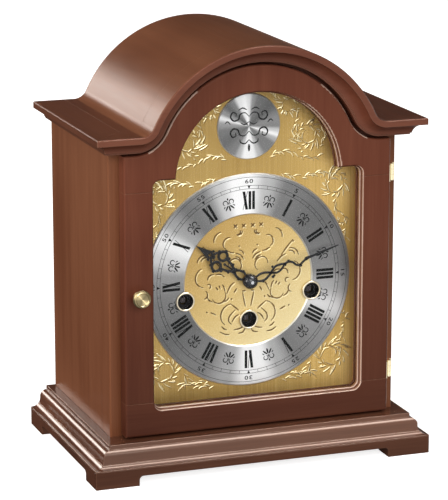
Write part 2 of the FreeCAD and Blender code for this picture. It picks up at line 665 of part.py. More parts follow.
def movement_frame():
    """Two brass plates on four pillars, standing on a wooden seat board."""
    plates = []
    for face in (FRONT_PLATE, BACK_PLATE):
        plate = box(-PLATE_HALF, PLATE_HALF, face, face + PLATE_T, PLATE_Z[0], PLATE_Z[1])
        corners = [e for e in plate.Edges if abs(e.tangentAt(e.FirstParameter).y) > 0.9]
        plates.append(plate.makeFillet(6.0, corners))
    holes = [(0, DIAL_Z, ARBOR_R + RUN), (THIRD_ARBOR[0], THIRD_ARBOR[1], 0.8 + RUN)]
    for x, z in WIND_HOLES.values():
        holes.append((x, z, 3.2 + RUN))
    for x, z, radius in holes:
        cutter = rod(radius, x, z, -60, 20)
        plates = [plate.cut(cutter) for plate in plates]
    post_x, post_z = MINUTE_POST
    post = rod(0.9, post_x, post_z, -41.2, FRONT_PLATE)
    add("movement_front_plate", plates[0].fuse(post).removeSplitter())
    add("movement_back_plate", plates[1])
    pillars = []
    screws = []
    for x in (-59.0, 59.0):
        for z in (78.0, 164.0):
            pillars.append(rod(3.2, x, z, FRONT_PLATE + PLATE_T, BACK_PLATE))
            screws.append(rod(2.6, x, z, BACK_PLATE + PLATE_T, BACK_PLATE + PLATE_T + 1.8))
    add("plate_pillars", *pillars)
    add("pillar_screws", *screws)
    inner = CASE_HALF - PANEL_T
    add("seat_board", box(-inner, inner, DIAL_BACK + 0.5, 4, 60, PLATE_Z[0]))
    brackets = []
    for x in (-50.0, 38.0):
        foot = box(x, x + 12, BACK_PLATE + PLATE_T, 3.5, PLATE_Z[0], PLATE_Z[0] + 1.5)
        upright = box(x, x + 12, BACK_PLATE + PLATE_T, BACK_PLATE + PLATE_T + 1.5, PLATE_Z[0], 86)
        brackets.append(fuse([foot, upright]))
    add("seat_brackets", *brackets)


def going_trains():
    """Three spring barrels on winding arbors; the middle one drives the hands."""
    centre_gap = DIAL_Z - WIND_HOLES["centre"][1]
    great_module = 2 * centre_gap / (GREAT_TEETH + CENTRE_LEAVES)
    for name, (x, z) in WIND_HOLES.items():
        teeth = GREAT_TEETH if name == "centre" else 120
        great_y = (BARREL_Y[1], BARREL_Y[1] + 1.4)
        if name != "centre":
            great_y = (BARREL_Y[0], BARREL_Y[0] + 1.4)
        great = gear(teeth, great_module, x, z, great_y[0], great_y[1])
        drum = rod(BARREL_R, x, z, BARREL_Y[0], BARREL_Y[1])
        hollow = tube(BARREL_R - 1.0, 4.2, x, z, BARREL_Y[0] + 1.2, BARREL_Y[1] - 1.2)
        barrel = fuse([drum.cut(hollow), great]).cut(rod(3.2 + RUN, x, z, -60, 20))
        add("barrel_" + name, barrel)
        round_part = rod(3.2, x, z, FRONT_PLATE - 1.0, BACK_PLATE + PLATE_T + 1.0)
        square = box(x - SQUARE / 2, x + SQUARE / 2, SQUARE_END, FRONT_PLATE - 1.0,
                     z - SQUARE / 2, z + SQUARE / 2)
        ratchet = gear(30, 0.5, x, z, FRONT_PLATE + PLATE_T + 0.4, FRONT_PLATE + PLATE_T + 1.8)
        add("winding_arbor_" + name, fuse([round_part, square, ratchet]))
    centre_pinion = gear(CENTRE_LEAVES, great_module, 0, DIAL_Z, BARREL_Y[1] - 0.3, BARREL_Y[1] + 1.8,
                         180.0 + 180.0 / CENTRE_LEAVES)
    third_module = 2 * THIRD_GAP / (CENTRE_TEETH + THIRD_LEAVES)
    centre_wheel = gear(CENTRE_TEETH, third_module, 0, DIAL_Z, -8.4, -7.2, -45.0)
    spindle = rod(ARBOR_R, 0, DIAL_Z, -53.6, BACK_PLATE + PLATE_T + 0.5)
    add("centre_arbor", fuse([spindle, centre_pinion, centre_wheel]))
    x, z = THIRD_ARBOR
    leaves = gear(THIRD_LEAVES, third_module, x, z, -8.9, -6.7, 135.0 + 180.0 / THIRD_LEAVES)
    wheel = gear(75, 0.3, x, z, -18.0, -16.8)
    spindle = rod(0.8, x, z, FRONT_PLATE + 0.3, BACK_PLATE + PLATE_T - 0.3)
    add("third_wheel", fuse([spindle, leaves, wheel]))


def platform_escapement():
    """Platform on two posts behind the back plate, with a sprung balance wheel."""
    x, z = 34.0, 150.0
    face = BACK_PLATE + PLATE_T
    base = box(x - 14, x + 14, 3.0, 5.0, z - 14, z + 14)
    posts = [rod(1.8, x - 10, z - 10, face, 3.0), rod(1.8, x + 10, z + 10, face, 3.0)]
    cock_foot = box(x - 4, x + 4, 5.0, 13.0, z - 14, z - 11.8)
    cock_arm = box(x - 3, x + 3, 13.0, 14.6, z - 14, z + 3)
    pivot = rod(0.6 + RUN, x, z, 2, 20)
    cock = fuse([cock_foot, cock_arm]).cut(pivot)
    add("escapement_platform", base.cut(pivot), cock, *posts)
    rim = tube(10.0, 8.4, x, z, 8.0, 9.6)
    arm = box(x - 9, x + 9, 8.2, 9.4, z - 0.9, z + 0.9)
    staff = rod(0.6, x, z, 3.6, 14.2)
    hub = rod(1.4, x, z, 7.0, 11.6)
    add("balance_wheel", fuse([rim, arm, hub, staff]))
    coils = []
    for turn in range(4):
        radius = 2.4 + 0.9 * turn
        coils.append(tube(radius + 0.12, radius - 0.12, x, z, 10.6, 11.1))
    spoke = box(x + 1.2, x + 5.2, 10.6, 11.1, z - 0.12, z + 0.12)
    add("hairspring", fuse(coils + [spoke]).cut(rod(1.4, x, z, 5, 15)))


def chime():
    """Five tuned rods in an iron block, each struck by its own sprung hammer."""
    block = box(-90, -76, 14, 58, LEDGE_Z, ROD_Z + 8)
    rods = []
    for y in ROD_Y:
        bar = Part.makeCylinder(1.3, 150, Vector(-84, y, ROD_Z), Vector(1, 0, 0))
        block = block.cut(bar)
        rods.append(bar)
    add("chime_block", block)
    add("chime_rods", *rods)
    px, pz = HAMMER_PIVOT
    cheek_low = pz - 6
    face = BACK_PLATE + PLATE_T
    arm = box(px - 3, px + 9, face, 58, pz + 4, pz + 7)
    cheeks = [box(px - 3, px + 9, y, y + 2, cheek_low, pz + 5) for y in (12.0, 56.0)]
    bracket = fuse([arm] + cheeks).cut(rod(1.0, px, pz, 10, 60))
    add("hammer_bracket", bracket, rod(1.0, px, pz, 12.0, 58.0))
    for number, y in enumerate(ROD_Y, start=1):
        collar = rod(2.2, px, pz, y - 2, y + 2)
        head_low = Vector(px - HAMMER_REACH, y, ROD_Z + 2.6)
        head = Part.makeCylinder(3.0, 9.0, head_low, Vector(0, 0, 1))
        slope = Vector(-HAMMER_REACH, 0, head_low.z + 6.0 - pz)
        shank = Part.makeCylinder(0.8, slope.Length, Vector(px, y, pz), slope)
        hammer = fuse([collar, shank, head]).cut(rod(1.0 + RUN, px, pz, 10, 60))
        add("hammer_%d" % number, hammer)


plinth_rails()
base_mouldings()
side_panels()
front_frame()
cornice()
roof()
back_door()
front_door()
door_hinges()
door_knob()
dial()
hands()
motion_work()
movement_frame()
going_trains()
platform_escapement()
chime()

os.makedirs("parts", exist_ok=True)
for node, shape in NODES.items():
    shape.exportStep("parts/%s.step" % node)
print(len(NODES), "nodes")
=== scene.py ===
import bmesh
import bpy
import math
from mathutils import Matrix, Vector


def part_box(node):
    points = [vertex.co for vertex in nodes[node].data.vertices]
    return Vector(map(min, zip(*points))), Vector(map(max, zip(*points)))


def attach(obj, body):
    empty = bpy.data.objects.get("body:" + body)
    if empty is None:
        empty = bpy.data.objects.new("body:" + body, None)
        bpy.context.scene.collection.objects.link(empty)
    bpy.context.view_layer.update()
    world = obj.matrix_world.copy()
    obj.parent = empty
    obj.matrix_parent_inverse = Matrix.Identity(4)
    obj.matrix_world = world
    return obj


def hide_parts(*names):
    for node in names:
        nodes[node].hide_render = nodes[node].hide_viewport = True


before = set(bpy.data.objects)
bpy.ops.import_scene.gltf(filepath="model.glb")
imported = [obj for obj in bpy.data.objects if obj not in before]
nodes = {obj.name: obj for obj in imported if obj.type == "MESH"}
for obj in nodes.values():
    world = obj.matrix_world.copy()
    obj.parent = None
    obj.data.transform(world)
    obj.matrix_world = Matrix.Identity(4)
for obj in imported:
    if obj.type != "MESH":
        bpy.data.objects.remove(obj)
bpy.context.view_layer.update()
scene = bpy.context.scene


# --- Studio -----------------------------------------------------------------------
# White paper under and behind the clock. A large soft light stands on the left, a
# second one low behind on the left glances off the roof, and a weak one fills the front.
CLOCK_MIDDLE = Vector((0.0, 0.0, 0.150))
VIEW_AZIMUTH = math.radians(-19.896)
VIEW_HEIGHT = math.radians(13.656)
VIEW_DISTANCE = 1.86933
VIEW_SLIDE = (-0.00185, -0.008295)
LENS_MM = 187.24

back = Vector((
    math.sin(VIEW_AZIMUTH) * math.cos(VIEW_HEIGHT),
    -math.cos(VIEW_AZIMUTH) * math.cos(VIEW_HEIGHT),
    math.sin(VIEW_HEIGHT),
))
right = Vector((math.cos(VIEW_AZIMUTH), math.sin(VIEW_AZIMUTH), 0.0))
up = back.cross(right)
camera_data = bpy.data.cameras.new("camera")
camera_data.lens = LENS_MM
camera_data.sensor_width = 36.0
camera_data.clip_start = 0.05
camera = bpy.data.objects.new("camera", camera_data)
turn = Matrix((right, up, back)).transposed()
aim = CLOCK_MIDDLE + VIEW_SLIDE[0] * right + VIEW_SLIDE[1] * up
camera.matrix_world = Matrix.Translation(aim + VIEW_DISTANCE * back) @ turn.to_4x4()
scene.collection.objects.link(camera)
scene.camera = camera


def soft_light(name, place, size, watts, colour=(1.0, 1.0, 1.0)):
    """A soft rectangular light that points at the middle of the clock."""
    data = bpy.data.lights.new(name, "AREA")
    data.shape = "RECTANGLE"
    data.size = size[0]
    data.size_y = size[1]
    data.energy = watts
    data.color = colour
    lamp = bpy.data.objects.new(name, data)
    lamp.location = place
    lamp.rotation_euler = (CLOCK_MIDDLE - Vector(place)).to_track_quat("-Z", "Y").to_euler()
    scene.collection.objects.link(lamp)


soft_light("key_left", (-1.75, -0.55, 0.75), (1.0, 1.2), 24.0, (1.0, 0.96, 0.90))
soft_light("back_left", (-0.80, 1.75, 0.60), (0.7, 0.35), 9.0, (1.0, 0.92, 0.86))
soft_light("front_fill", (0.0, -1.9, 1.0), (1.2, 0.8), 13.0)


def feed(made, inputs):
    """Give a node's inputs their values or their links, by socket."""
    for socket, value in inputs.items():
        if isinstance(value, bpy.types.NodeSocket):
            made.id_data.links.new(value, made.inputs[socket])
        else:
            made.inputs[socket].default_value = value


def nodes_of(tree):
    """A short way to add a node to a tree, which gives back one of its outputs."""
    def add(kind, label, inputs, output=0, **settings):
        made = tree.nodes.new(kind)
        made.label = label
        for key, value in settings.items():
            setattr(made, key, value)
        feed(made, inputs)
        return made.outputs[output]

    return add


def colours(add, label, value, stops, smooth="LINEAR"):
    """A ramp through (place, colour) pairs; a bare number is a grey."""
    result = add("ShaderNodeValToRGB", label, {"Fac": value}, "Color")
    ramp = result.node.color_ramp
    ramp.interpolation = smooth
    while len(ramp.elements) < len(stops):
        ramp.elements.new(0.5)
    for element, (place, colour) in zip(ramp.elements, stops):
        element.position = place
        if isinstance(colour, float):
            colour = (colour, colour, colour)
        element.color = (*colour, 1.0)
    return result


def spread(add, label, value, low, high, start=0.0, end=1.0):
    """Stretch a value that runs from start to end, so that it runs from low to high."""
    return add("ShaderNodeMapRange", label, {
        "Value": value, "From Min": start, "From Max": end, "To Min": low, "To Max": high,
    }, "Result")


def either(add, label, choice, first, second):
    """The first colour, turning to the second as the choice goes from 0 to 1."""
    return add("ShaderNodeMix", label, {"Factor": choice, "A": first, "B": second}, "Result",
               data_type="RGBA")


world = bpy.data.worlds.new("studio")
world.use_nodes = True
world_node = nodes_of(world.node_tree)
facing = world_node("ShaderNodeTexCoord", "direction", {}, "Generated")


def room_side(label, toward_bright, stops):
    """Brightness of the room around a bright direction, from behind it to its middle."""
    toward = world_node("ShaderNodeVectorMath", label, {0: facing, 1: toward_bright}, "Value",
                        operation="DOT_PRODUCT")
    half_turn = spread(world_node, "half turn to one", toward, 0.0, 1.0, -1.0, 1.0)
    return colours(world_node, "room brightness", half_turn, stops)


def together(label, first, second):
    return world_node("ShaderNodeVectorMath", label, {0: first, 1: second}, operation="ADD")


ambient = room_side("soft room", (-0.30, -0.70, 0.65),
                    [(0.0, 0.04), (0.45, 0.14), (0.75, 0.50), (1.0, 0.78)])
cards = room_side("white cards in front", (0.05, -0.98, -0.05),
                  [(0.0, 0.03), (0.52, 0.10), (0.74, 0.45), (0.88, 1.25), (1.0, 1.5)])
strip = room_side("bright strip overhead", (0.33, -0.33, 0.88),
                  [(0.0, 0.0), (0.955, 0.0), (0.985, 7.0), (1.0, 26.0)])
beyond = room_side("white paper behind on the right", (0.83, 0.48, -0.28),
                   [(0.0, 0.0), (0.88, 0.0), (0.95, 1.4), (1.0, 2.2)])
gloss = together("cards and the rest", cards, together("strip and paper", strip, beyond))
in_gloss = world_node("ShaderNodeLightPath", "kind of ray", {}, "Is Glossy Ray")
in_view = world_node("ShaderNodeLightPath", "kind of ray", {}, "Is Camera Ray")
lit = either(world_node, "cards show in gloss", in_gloss, ambient, gloss)
backdrop = either(world_node, "white backdrop", in_view, lit, (1.0, 1.0, 1.0, 1.0))
feed(world.node_tree.nodes["Background"], {"Color": backdrop})
scene.world = world
scene.view_settings.view_transform = "Standard"

FLOOR_HALF = 6.0
floor_mesh = bpy.data.meshes.new("floor")
floor_mesh.from_pydata(
    [(-FLOOR_HALF, -FLOOR_HALF, 0), (FLOOR_HALF, -FLOOR_HALF, 0),
     (FLOOR_HALF, FLOOR_HALF, 0), (-FLOOR_HALF, FLOOR_HALF, 0)],
    [], [(0, 1, 2, 3)],
)
floor = bpy.data.objects.new("floor", floor_mesh)
scene.collection.objects.link(floor)
paper = bpy.data.materials.new("paper")
paper.use_nodes = True
feed(paper.node_tree.nodes["Principled BSDF"], {
    "Base Color": (0.90, 0.90, 0.90, 1.0),
    "Roughness": 0.95,
    "Specular IOR Level": 0.0,
    "Emission Color": (1.0, 1.0, 1.0, 1.0),
    "Emission Strength": 0.80,
})
floor_mesh.materials.append(paper)
floor.visible_glossy = False
floor.visible_diffuse = False


# --- Plinth and base mouldings ---------------------------------------------------
# Mahogany-stained hardwood under a satin lacquer, mitred at the front corners. Each
# board's grain runs along its length, the stain has thinned on every arris, and a painted
# highlight lies along each arris.
def new_finish(name):
    """A material, its shader, a way to add its nodes, and the place on the clock."""
    made = bpy.data.materials.new(name)
    made.use_nodes = True
    add = nodes_of(made.node_tree)
    place = add("ShaderNodeTexCoord", "place", {}, "Object")
    return made, made.node_tree.nodes["Principled BSDF"], add, place


def noise(add, label, vector, scale, detail=2.0, distortion=0.0):
    return add("ShaderNodeTexNoise", label, {
        "Vector": vector, "Scale": scale, "Detail": detail, "Distortion": distortion,
    }, "Fac")


def blend(add, label, factor, a, b):
    return add("ShaderNodeMix", label, {"Factor": factor, "A": a, "B": b}, "Result",
               data_type="FLOAT")


def stretched(add, vector, along, across, lengthwise):
    """The place on the clock, drawn out along one axis."""
    scale = [across, across, across]
    scale["XYZ".index(along)] = lengthwise
    return add("ShaderNodeMapping", "grain direction", {"Vector": vector, "Scale": scale})


def scaled(add, label, colour, factor):
    return add("ShaderNodeVectorMath", label, {0: colour, "Scale": factor}, operation="SCALE")


def bump(add, label, height, strength, distance, **more):
    return add("ShaderNodeBump", label, {
        "Height": height, "Strength": strength, "Distance": distance, **more,
    })


ARRIS = 0.0009


def lacquered_wood(name, along, dark, pale, rough=0.34, shine=0.16, arris=(0.26, 0.13, 0.08),
                   foot=1.0):
    """Grain stretched along one axis, a soft uneven stain, and paler rounded arrises, where
    the stain is worn thin and a painted highlight lies. The foot is painted shade: how dark
    the colour is made near the base, as a share of its brightness above."""
    made, shader, add, place = new_finish(name)
    grain = stretched(add, place, along, 30.0, 1.2)
    figure = noise(add, "figure", grain, 2.2, 6.0, 0.8)
    fibre = noise(add, "fibre", grain, 24.0, 3.0)
    stain = noise(add, "stain", place, 7.0)
    tone = blend(add, "figure and fibre", 0.32, figure, fibre)
    tone = blend(add, "stain depth", 0.45, tone, stain)
    colour = colours(add, "stain colours", tone, [(0.36, dark), (0.66, pale)])
    height = add("ShaderNodeSeparateXYZ", "height", {"Vector": place}, "Z")
    # Painted shade: the colour darkens toward the base, down to the share foot.
    depth = spread(add, "darker toward the foot", height, foot, 1.0, 0.035, 0.190)
    coat = scaled(add, "stain", colour, depth)
    rounded = add("ShaderNodeBevel", "rounded arris", {"Radius": ARRIS}, samples=4)
    flat = add("ShaderNodeNewGeometry", "flat face", {}, "Normal")
    how_flat = add("ShaderNodeVectorMath", "how flat", {0: rounded, 1: flat}, "Value",
                   operation="DOT_PRODUCT")
    # The paler arris colour is partly worn stain and partly a painted highlight along each edge.
    worn_and_sheen = spread(add, "thin stain", how_flat, 0.0, 0.55, 0.995, 0.80)
    feed(shader, {
        "Base Color": either(add, "arris colour", worn_and_sheen, coat, (*arris, 1.0)),
        "Roughness": spread(add, "lacquer haze", fibre, rough - 0.04, rough + 0.06),
        "Specular IOR Level": shine,
        "Specular Tint": (1.0, 0.82, 0.70, 1.0),
        "Normal": bump(add, "pores", fibre, 0.04, 0.0003, Normal=rounded),
    })
    return made


def finish_node(name, *materials):
    """Give a CAD node its finish; any others wait for the faces that are picked later."""
    mesh = nodes[name].data
    mesh.materials.clear()
    for material in materials:
        mesh.materials.append(material)
    for face in mesh.polygons:
        face.material_index = 0
    return mesh


# A paler arris colour: stain worn thin, with a painted highlight along each moulded edge.
PALE_ARRIS_SHEEN = (0.36, 0.20, 0.135)
plinth_wood = lacquered_wood("plinth_wood", "X", (0.064, 0.022, 0.012), (0.119, 0.045, 0.025),
                             0.20, 0.12)
moulding_wood = lacquered_wood("moulding_wood", "X", (0.086, 0.030, 0.016), (0.155, 0.061, 0.034),
                               0.20, 0.50, PALE_ARRIS_SHEEN)
inner_wood = lacquered_wood("inner_wood", "Z", (0.10, 0.040, 0.020), (0.22, 0.105, 0.055), 0.5)
finish_node("plinth_rails", plinth_wood)
finish_node("base_moulding", moulding_wood)
finish_node("base_board", inner_wood)


# --- Case sides and front frame --------------------------------------------------
# Two veneered side panels with upright grain, joined by a narrow front frame that the
# door shuts against.
FRONT_DARK = (0.125, 0.034, 0.019)
FRONT_PALE = (0.205, 0.068, 0.038)
SIDE_DARK = (0.150, 0.049, 0.021)
SIDE_PALE = (0.250, 0.097, 0.047)
side_wood = lacquered_wood("side_wood", "Z", SIDE_DARK, SIDE_PALE)
frame_wood = lacquered_wood("frame_wood", "Z", FRONT_DARK, FRONT_PALE)
finish_node("side_panels", side_wood)
finish_node("front_frame", frame_wood)


# --- Cornice and vaulted roof ----------------------------------------------------
# The front cornice is one shaped board, returned along each side. The roof is a bent
# skin behind it, so the board's upper edge carries the same lengthwise grain.
wing_wood = lacquered_wood("wing_wood", "Y", (0.085, 0.026, 0.013), (0.150, 0.054, 0.029))
vault_painted_light = lacquered_wood("vault_painted_light", "Y", (0.125, 0.042, 0.019), (0.215, 0.082, 0.040))
cornice_wood = lacquered_wood("cornice_wood", "X", FRONT_DARK, FRONT_PALE, 0.24, 0.24, PALE_ARRIS_SHEEN)
# Painted light: faces that slope upward take a paler copy of the wood, and the level tops of the
# wings keep the darker copy as painted shade.
UPPER_FACE = 0.25
LEVEL_FACE = 0.99
VAULT_FOOT = 0.088
WING, VAULT = 1, 2
for name, plain in (("cornice_front", cornice_wood), ("roof_vault", wing_wood)):
    for face in finish_node(name, plain, wing_wood, vault_painted_light).polygons:
        if face.normal.z > UPPER_FACE and abs(face.normal.y) < UPPER_FACE:
            on_wing = face.normal.z > LEVEL_FACE and abs(face.center.x) > VAULT_FOOT
            face.material_index = WING if on_wing else VAULT
finish_node("cornice_sides", wing_wood)


# --- Movement --------------------------------------------------------------------
# Two brass plates held apart by turned pillars, with three spring barrels and their
# steel winding arbors between them, and a small escapement on a platform at the back.
# The movement stands on a wooden seat board between the side panels.
def worked_metal(name, dark, pale, rough, along="X", fineness=90.0, mark=0.02, metallic=1.0,
                 specular=0.5):
    """Metal with fine tool marks along one axis, and an uneven tarnish. At metallic 0 it is
    the same metal under an enamel."""
    made, shader, add, place = new_finish(name)
    marks = noise(add, "tool marks", stretched(add, place, along, 40.0, 1.0), fineness)
    tarnish = noise(add, "tarnish", place, 28.0, 3.0)
    tone = blend(add, "marks and tarnish", 0.5, marks, tarnish)
    feed(shader, {
        "Base Color": colours(add, "metal colours", tone, [(0.34, dark), (0.62, pale)]),
        "Metallic": metallic,
        "Specular IOR Level": specular,
        "Roughness": spread(add, "polish", tone, rough - 0.05, rough + 0.08),
        "Normal": bump(add, "scratches", marks, mark, 0.0002),
    })
    return made


plate_brass = worked_metal("plate_brass", (0.52, 0.34, 0.12), (0.70, 0.49, 0.20), 0.30, "Z")
wheel_brass = worked_metal("wheel_brass", (0.60, 0.40, 0.13), (0.80, 0.56, 0.22), 0.24)
bright_steel = worked_metal("bright_steel", (0.42, 0.43, 0.45), (0.62, 0.63, 0.65), 0.26, "Y")
blued_steel = worked_metal("blued_steel", (0.03, 0.04, 0.09), (0.08, 0.10, 0.20), 0.22)
dark_steel = worked_metal("dark_steel", (0.025, 0.022, 0.022), (0.07, 0.06, 0.06), 0.20, "Y")
movement_finish = {
    plate_brass: ("movement_front_plate", "movement_back_plate", "escapement_platform"),
    wheel_brass: ("barrel_left", "barrel_centre", "barrel_right", "third_wheel", "minute_wheel",
                  "hour_wheel", "balance_wheel", "plate_pillars", "cannon_pinion"),
    bright_steel: ("centre_arbor", "pillar_screws", "seat_brackets"),
    dark_steel: ("winding_arbor_left", "winding_arbor_centre", "winding_arbor_right"),
    blued_steel: ("hairspring",),
    inner_wood: ("seat_board",),
}
for finish, names in movement_finish.items():
    for name in names:
        finish_node(name, finish)


# --- Chime rods and hammers ------------------------------------------------------
# Five steel rods, each a little longer than the last, screwed into an iron block. Five
# hammers with brass heads hang on one bracket and strike them near the block.
HAMMERS = 5
cast_iron = worked_metal("cast_iron", (0.05, 0.05, 0.055), (0.13, 0.13, 0.14), 0.55, "Z", 30.0,
                         0.3)
bright_brass = worked_metal("bright_brass", (0.62, 0.44, 0.16), (0.86, 0.66, 0.30), 0.17, "Z")
finish_node("chime_block", cast_iron)
finish_node("chime_rods", bright_steel)
finish_node("hammer_bracket", wheel_brass)
for hammer in range(1, HAMMERS + 1):
    finish_node("hammer_%d" % hammer, bright_brass)


# --- Dial plate ------------------------------------------------------------------
# A brushed and gilded brass plate on steel posts. Acanthus sprays are cut into its
# corners and its arch, and a lighter scrollwork fills the field inside the ring. The cuts
# are drawn as painted light: pale strokes for their lit walls as painted highlights, and
# dark strokes beside them as painted shade.
MM = 0.001  # the dial and the hands are drawn in millimetres
DIAL_Z = 130.0
plate_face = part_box("dial_plate")[0][1] / MM
ring_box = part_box("chapter_ring")
RING_R = (ring_box[1][0] - ring_box[0][0]) / 2 / MM
MATT_R = RING_R - 20.0  # under the ring's inner edge
ring_face = ring_box[0][1] / MM


def clock_point(radius, degrees, centre=(0.0, DIAL_Z)):
    """A place on the dial, with the angle clockwise from XII."""
    turned = math.radians(degrees)
    return Vector((centre[0] + radius * math.sin(turned), centre[1] + radius * math.cos(turned)))


def polar(add, place, centre):
    """Distance from a centre on the dial, and the share of a turn clockwise from above."""
    shift = add("ShaderNodeVectorMath", "from the centre",
                {0: place, 1: (centre[0] * MM, 0.0, centre[1] * MM)}, operation="SUBTRACT")
    split = add("ShaderNodeSeparateXYZ", "across and up", {"Vector": shift}).node.outputs
    flat = add("ShaderNodeCombineXYZ", "on the dial", {"X": split["X"], "Z": split["Z"]})
    length = add("ShaderNodeVectorMath", "distance", {0: flat}, "Value", operation="LENGTH")
    angle = add("ShaderNodeMath", "angle", {0: split["X"], 1: split["Z"]}, operation="ARCTAN2")
    share = add("ShaderNodeMath", "share of a turn", {0: angle, 1: 2 * math.pi},
                operation="DIVIDE")
    return length, add("ShaderNodeMath", "one turn", {0: share}, operation="FRACT")


def gilt_plate():
    """Upright brush lines on the plate; inside the ring the gilding is matt. The plate is
    painted lighter toward its right edge, and the matt centre lighter toward the lower right,
    as painted light.
    """
    made, shader, add, place = new_finish("gilt_plate")
    lines = noise(add, "brush lines", stretched(add, place, "Z", 1600.0, 9.0), 1.0)
    cloud = noise(add, "gilding", place, 12.0)
    frost = noise(add, "frosting", place, 1100.0)
    brushed = colours(add, "brushed gilt", blend(add, "lines and cloud", 0.55, lines, cloud),
                      [(0.30, (0.42, 0.25, 0.056)), (0.52, (0.58, 0.38, 0.11)),
                       (0.74, (0.76, 0.54, 0.20))])
    across = add("ShaderNodeSeparateXYZ", "across", {"Vector": place}, "X")
    # Painted light: the brushed gilt is made up to 1.4 times brighter toward the right edge.
    painted_light_right = spread(add, "less rubbed by the hinges", across, 1.0, 1.4, 0.025, 0.080)
    # Painted light: the matt centre is made lighter toward the lower right.
    slope = add("ShaderNodeVectorMath", "toward the lower right",
                {0: place, 1: (4.2, 0.0, -5.0)}, "Value", operation="DOT_PRODUCT")
    painted_light_low_right = spread(add, "thicker gilding below", slope, 0.0, 1.0, -1.05, -0.25)
    matt = colours(add, "matt gilt", blend(add, "frost and cloud", 0.62, frost, painted_light_low_right),
                   [(0.30, (0.60, 0.385, 0.115)), (0.50, (0.78, 0.565, 0.22)),
                    (0.72, (0.92, 0.76, 0.40))])
    distance, _ = polar(add, place, (0.0, DIAL_Z))
    inside = add("ShaderNodeMath", "inside the ring", {0: distance, 1: MATT_R * MM},
                 operation="LESS_THAN")
    feed(shader, {
        "Base Color": either(add, "plate and centre", inside,
                             scaled(add, "fresh gilding", brushed, painted_light_right), matt),
        "Metallic": 0.36,
        "Roughness": spread(add, "satin", lines, 0.38, 0.52),
        "Normal": bump(add, "brushing", lines, 0.10, 0.0002),
    })
    return made


finish_node("dial_posts", bright_steel)
finish_node("dial_plate", gilt_plate())
cut_highlight = worked_metal("cut_highlight", (0.88, 0.70, 0.33), (1.0, 0.90, 0.58), 0.30)
# Dark cut lines; beside the sprays this colour is painted shade.
dark_cut = worked_metal("dark_cut", (0.10, 0.050, 0.010), (0.20, 0.108, 0.024), 0.55,
                        metallic=0.3)


def smooth_path(points, steps=5):
    """Points along a smooth line through the given ones."""
    ends = [2 * Vector(points[0]) - Vector(points[1])]
    ends += [Vector(point) for point in points]
    ends.append(2 * ends[-1] - ends[-2])
    path = []
    for before, start, end, after in zip(ends, ends[1:], ends[2:], ends[3:]):
        for step in range(steps):
            t = step / steps
            path.append(0.5 * (
                2 * start + (end - before) * t
                + (2 * before - 5 * start + 4 * end - after) * t * t
                + (3 * start - before - 3 * end + after) * t ** 3
            ))
    path.append(ends[-2])
    return path


CURL_STEP = 18.0


def curl(centre, radius, first, last, end_radius=None):
    """Part of a spiral about a centre, with clock angles in degrees."""
    end_radius = radius if end_radius is None else end_radius
    steps = max(4, int(abs(last - first) / CURL_STEP))
    return [
        clock_point(radius + (end_radius - radius) * step / steps,
                    first + (last - first) * step / steps, centre)
        for step in range(steps + 1)
    ]


def both_sides(path):
    """A path, and the same path mirrored across the dial."""
    return path, [Vector((-point.x, point.y)) for point in path]


def add_strand(mesh, path, half, section, closed=False, taper=0.35):
    """A bar laid along a path on the dial. The section lists (side, depth) corners, with
    side from -1 to 1 across the bar; an open bar thins toward both ends."""
    rings = []
    count = len(path)
    for i, point in enumerate(path):
        if closed:
            heading = path[(i + 1) % count] - path[i - 1]
            width = half
        else:
            heading = path[min(i + 1, count - 1)] - path[max(i - 1, 0)]
            share = math.sin(math.pi * (i + 0.5) / count)
            width = half * (taper + (1 - taper) * share)
        across = Vector((-heading.y, heading.x)).normalized() * width
        rings.append([
            mesh.verts.new(((point.x + side * across.x) * MM, depth * MM,
                            (point.y + side * across.y) * MM))
            for side, depth in section
        ])
    corners = len(section)
    last = count if closed else count - 1
    for i in range(last):
        here = rings[i]
        there = rings[(i + 1) % count]
        for j in range(corners):
            k = (j + 1) % corners
            mesh.faces.new((here[j], here[k], there[k], there[j]))
    if not closed:
        mesh.faces.new(list(reversed(rings[0])))
        mesh.faces.new(rings[-1])


def add_plate(mesh, outline, front, rear):
    """A flat plate with the given outline on the dial."""
    rings = [
        [mesh.verts.new((point[0] * MM, depth * MM, point[1] * MM)) for point in outline]
        for depth in (front, rear)
    ]
    mesh.faces.new(rings[0])
    mesh.faces.new(list(reversed(rings[1])))
    count = len(outline)
    for i in range(count):
        j = (i + 1) % count
        mesh.faces.new((rings[0][j], rings[0][i], rings[1][i], rings[1][j]))


def made_of(name, mesh):
    """An object made of a mesh, with its faces turned outward."""
    bmesh.ops.recalc_face_normals(mesh, faces=mesh.faces)
    data = bpy.data.meshes.new(name)
    mesh.to_mesh(data)
    mesh.free()
    piece = bpy.data.objects.new(name, data)
    scene.collection.objects.link(piece)
    return piece


def settle(piece, body, slot, *stands_for):
    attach(piece, body)
    if stands_for:
        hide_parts(*stands_for)


def new_piece(name, mesh, material, body, slot, *stands_for):
    """A piece of one material, which rides on its body."""
    piece = made_of(name, mesh)
    piece.data.materials.append(material)
    settle(piece, body, slot, *stands_for)


CUT_SUNK = 0.05


def ridge(face, height):
    """The section of a cut line: a low three-cornered ridge that stands on a face."""
    return [(-1.0, face + CUT_SUNK), (0.0, face - height), (1.0, face + CUT_SUNK)]


def shifted(path, step):
    return [point + Vector(step) for point in path]


def leaf_fleck(place, heading, length, half):
    """One short leaf that curls as it runs out, with half its width."""
    turned = math.radians(heading)
    along = Vector((math.sin(turned), math.cos(turned)))
    side = Vector((along.y, -along.x))
    start = Vector(place)
    return (smooth_path([start, start + 0.5 * length * along + 0.10 * length * side,
                         start + length * along + 0.34 * length * side], 3), half)


LEAFY_STEM = 0.78
STEM_CLOSES = 0.62


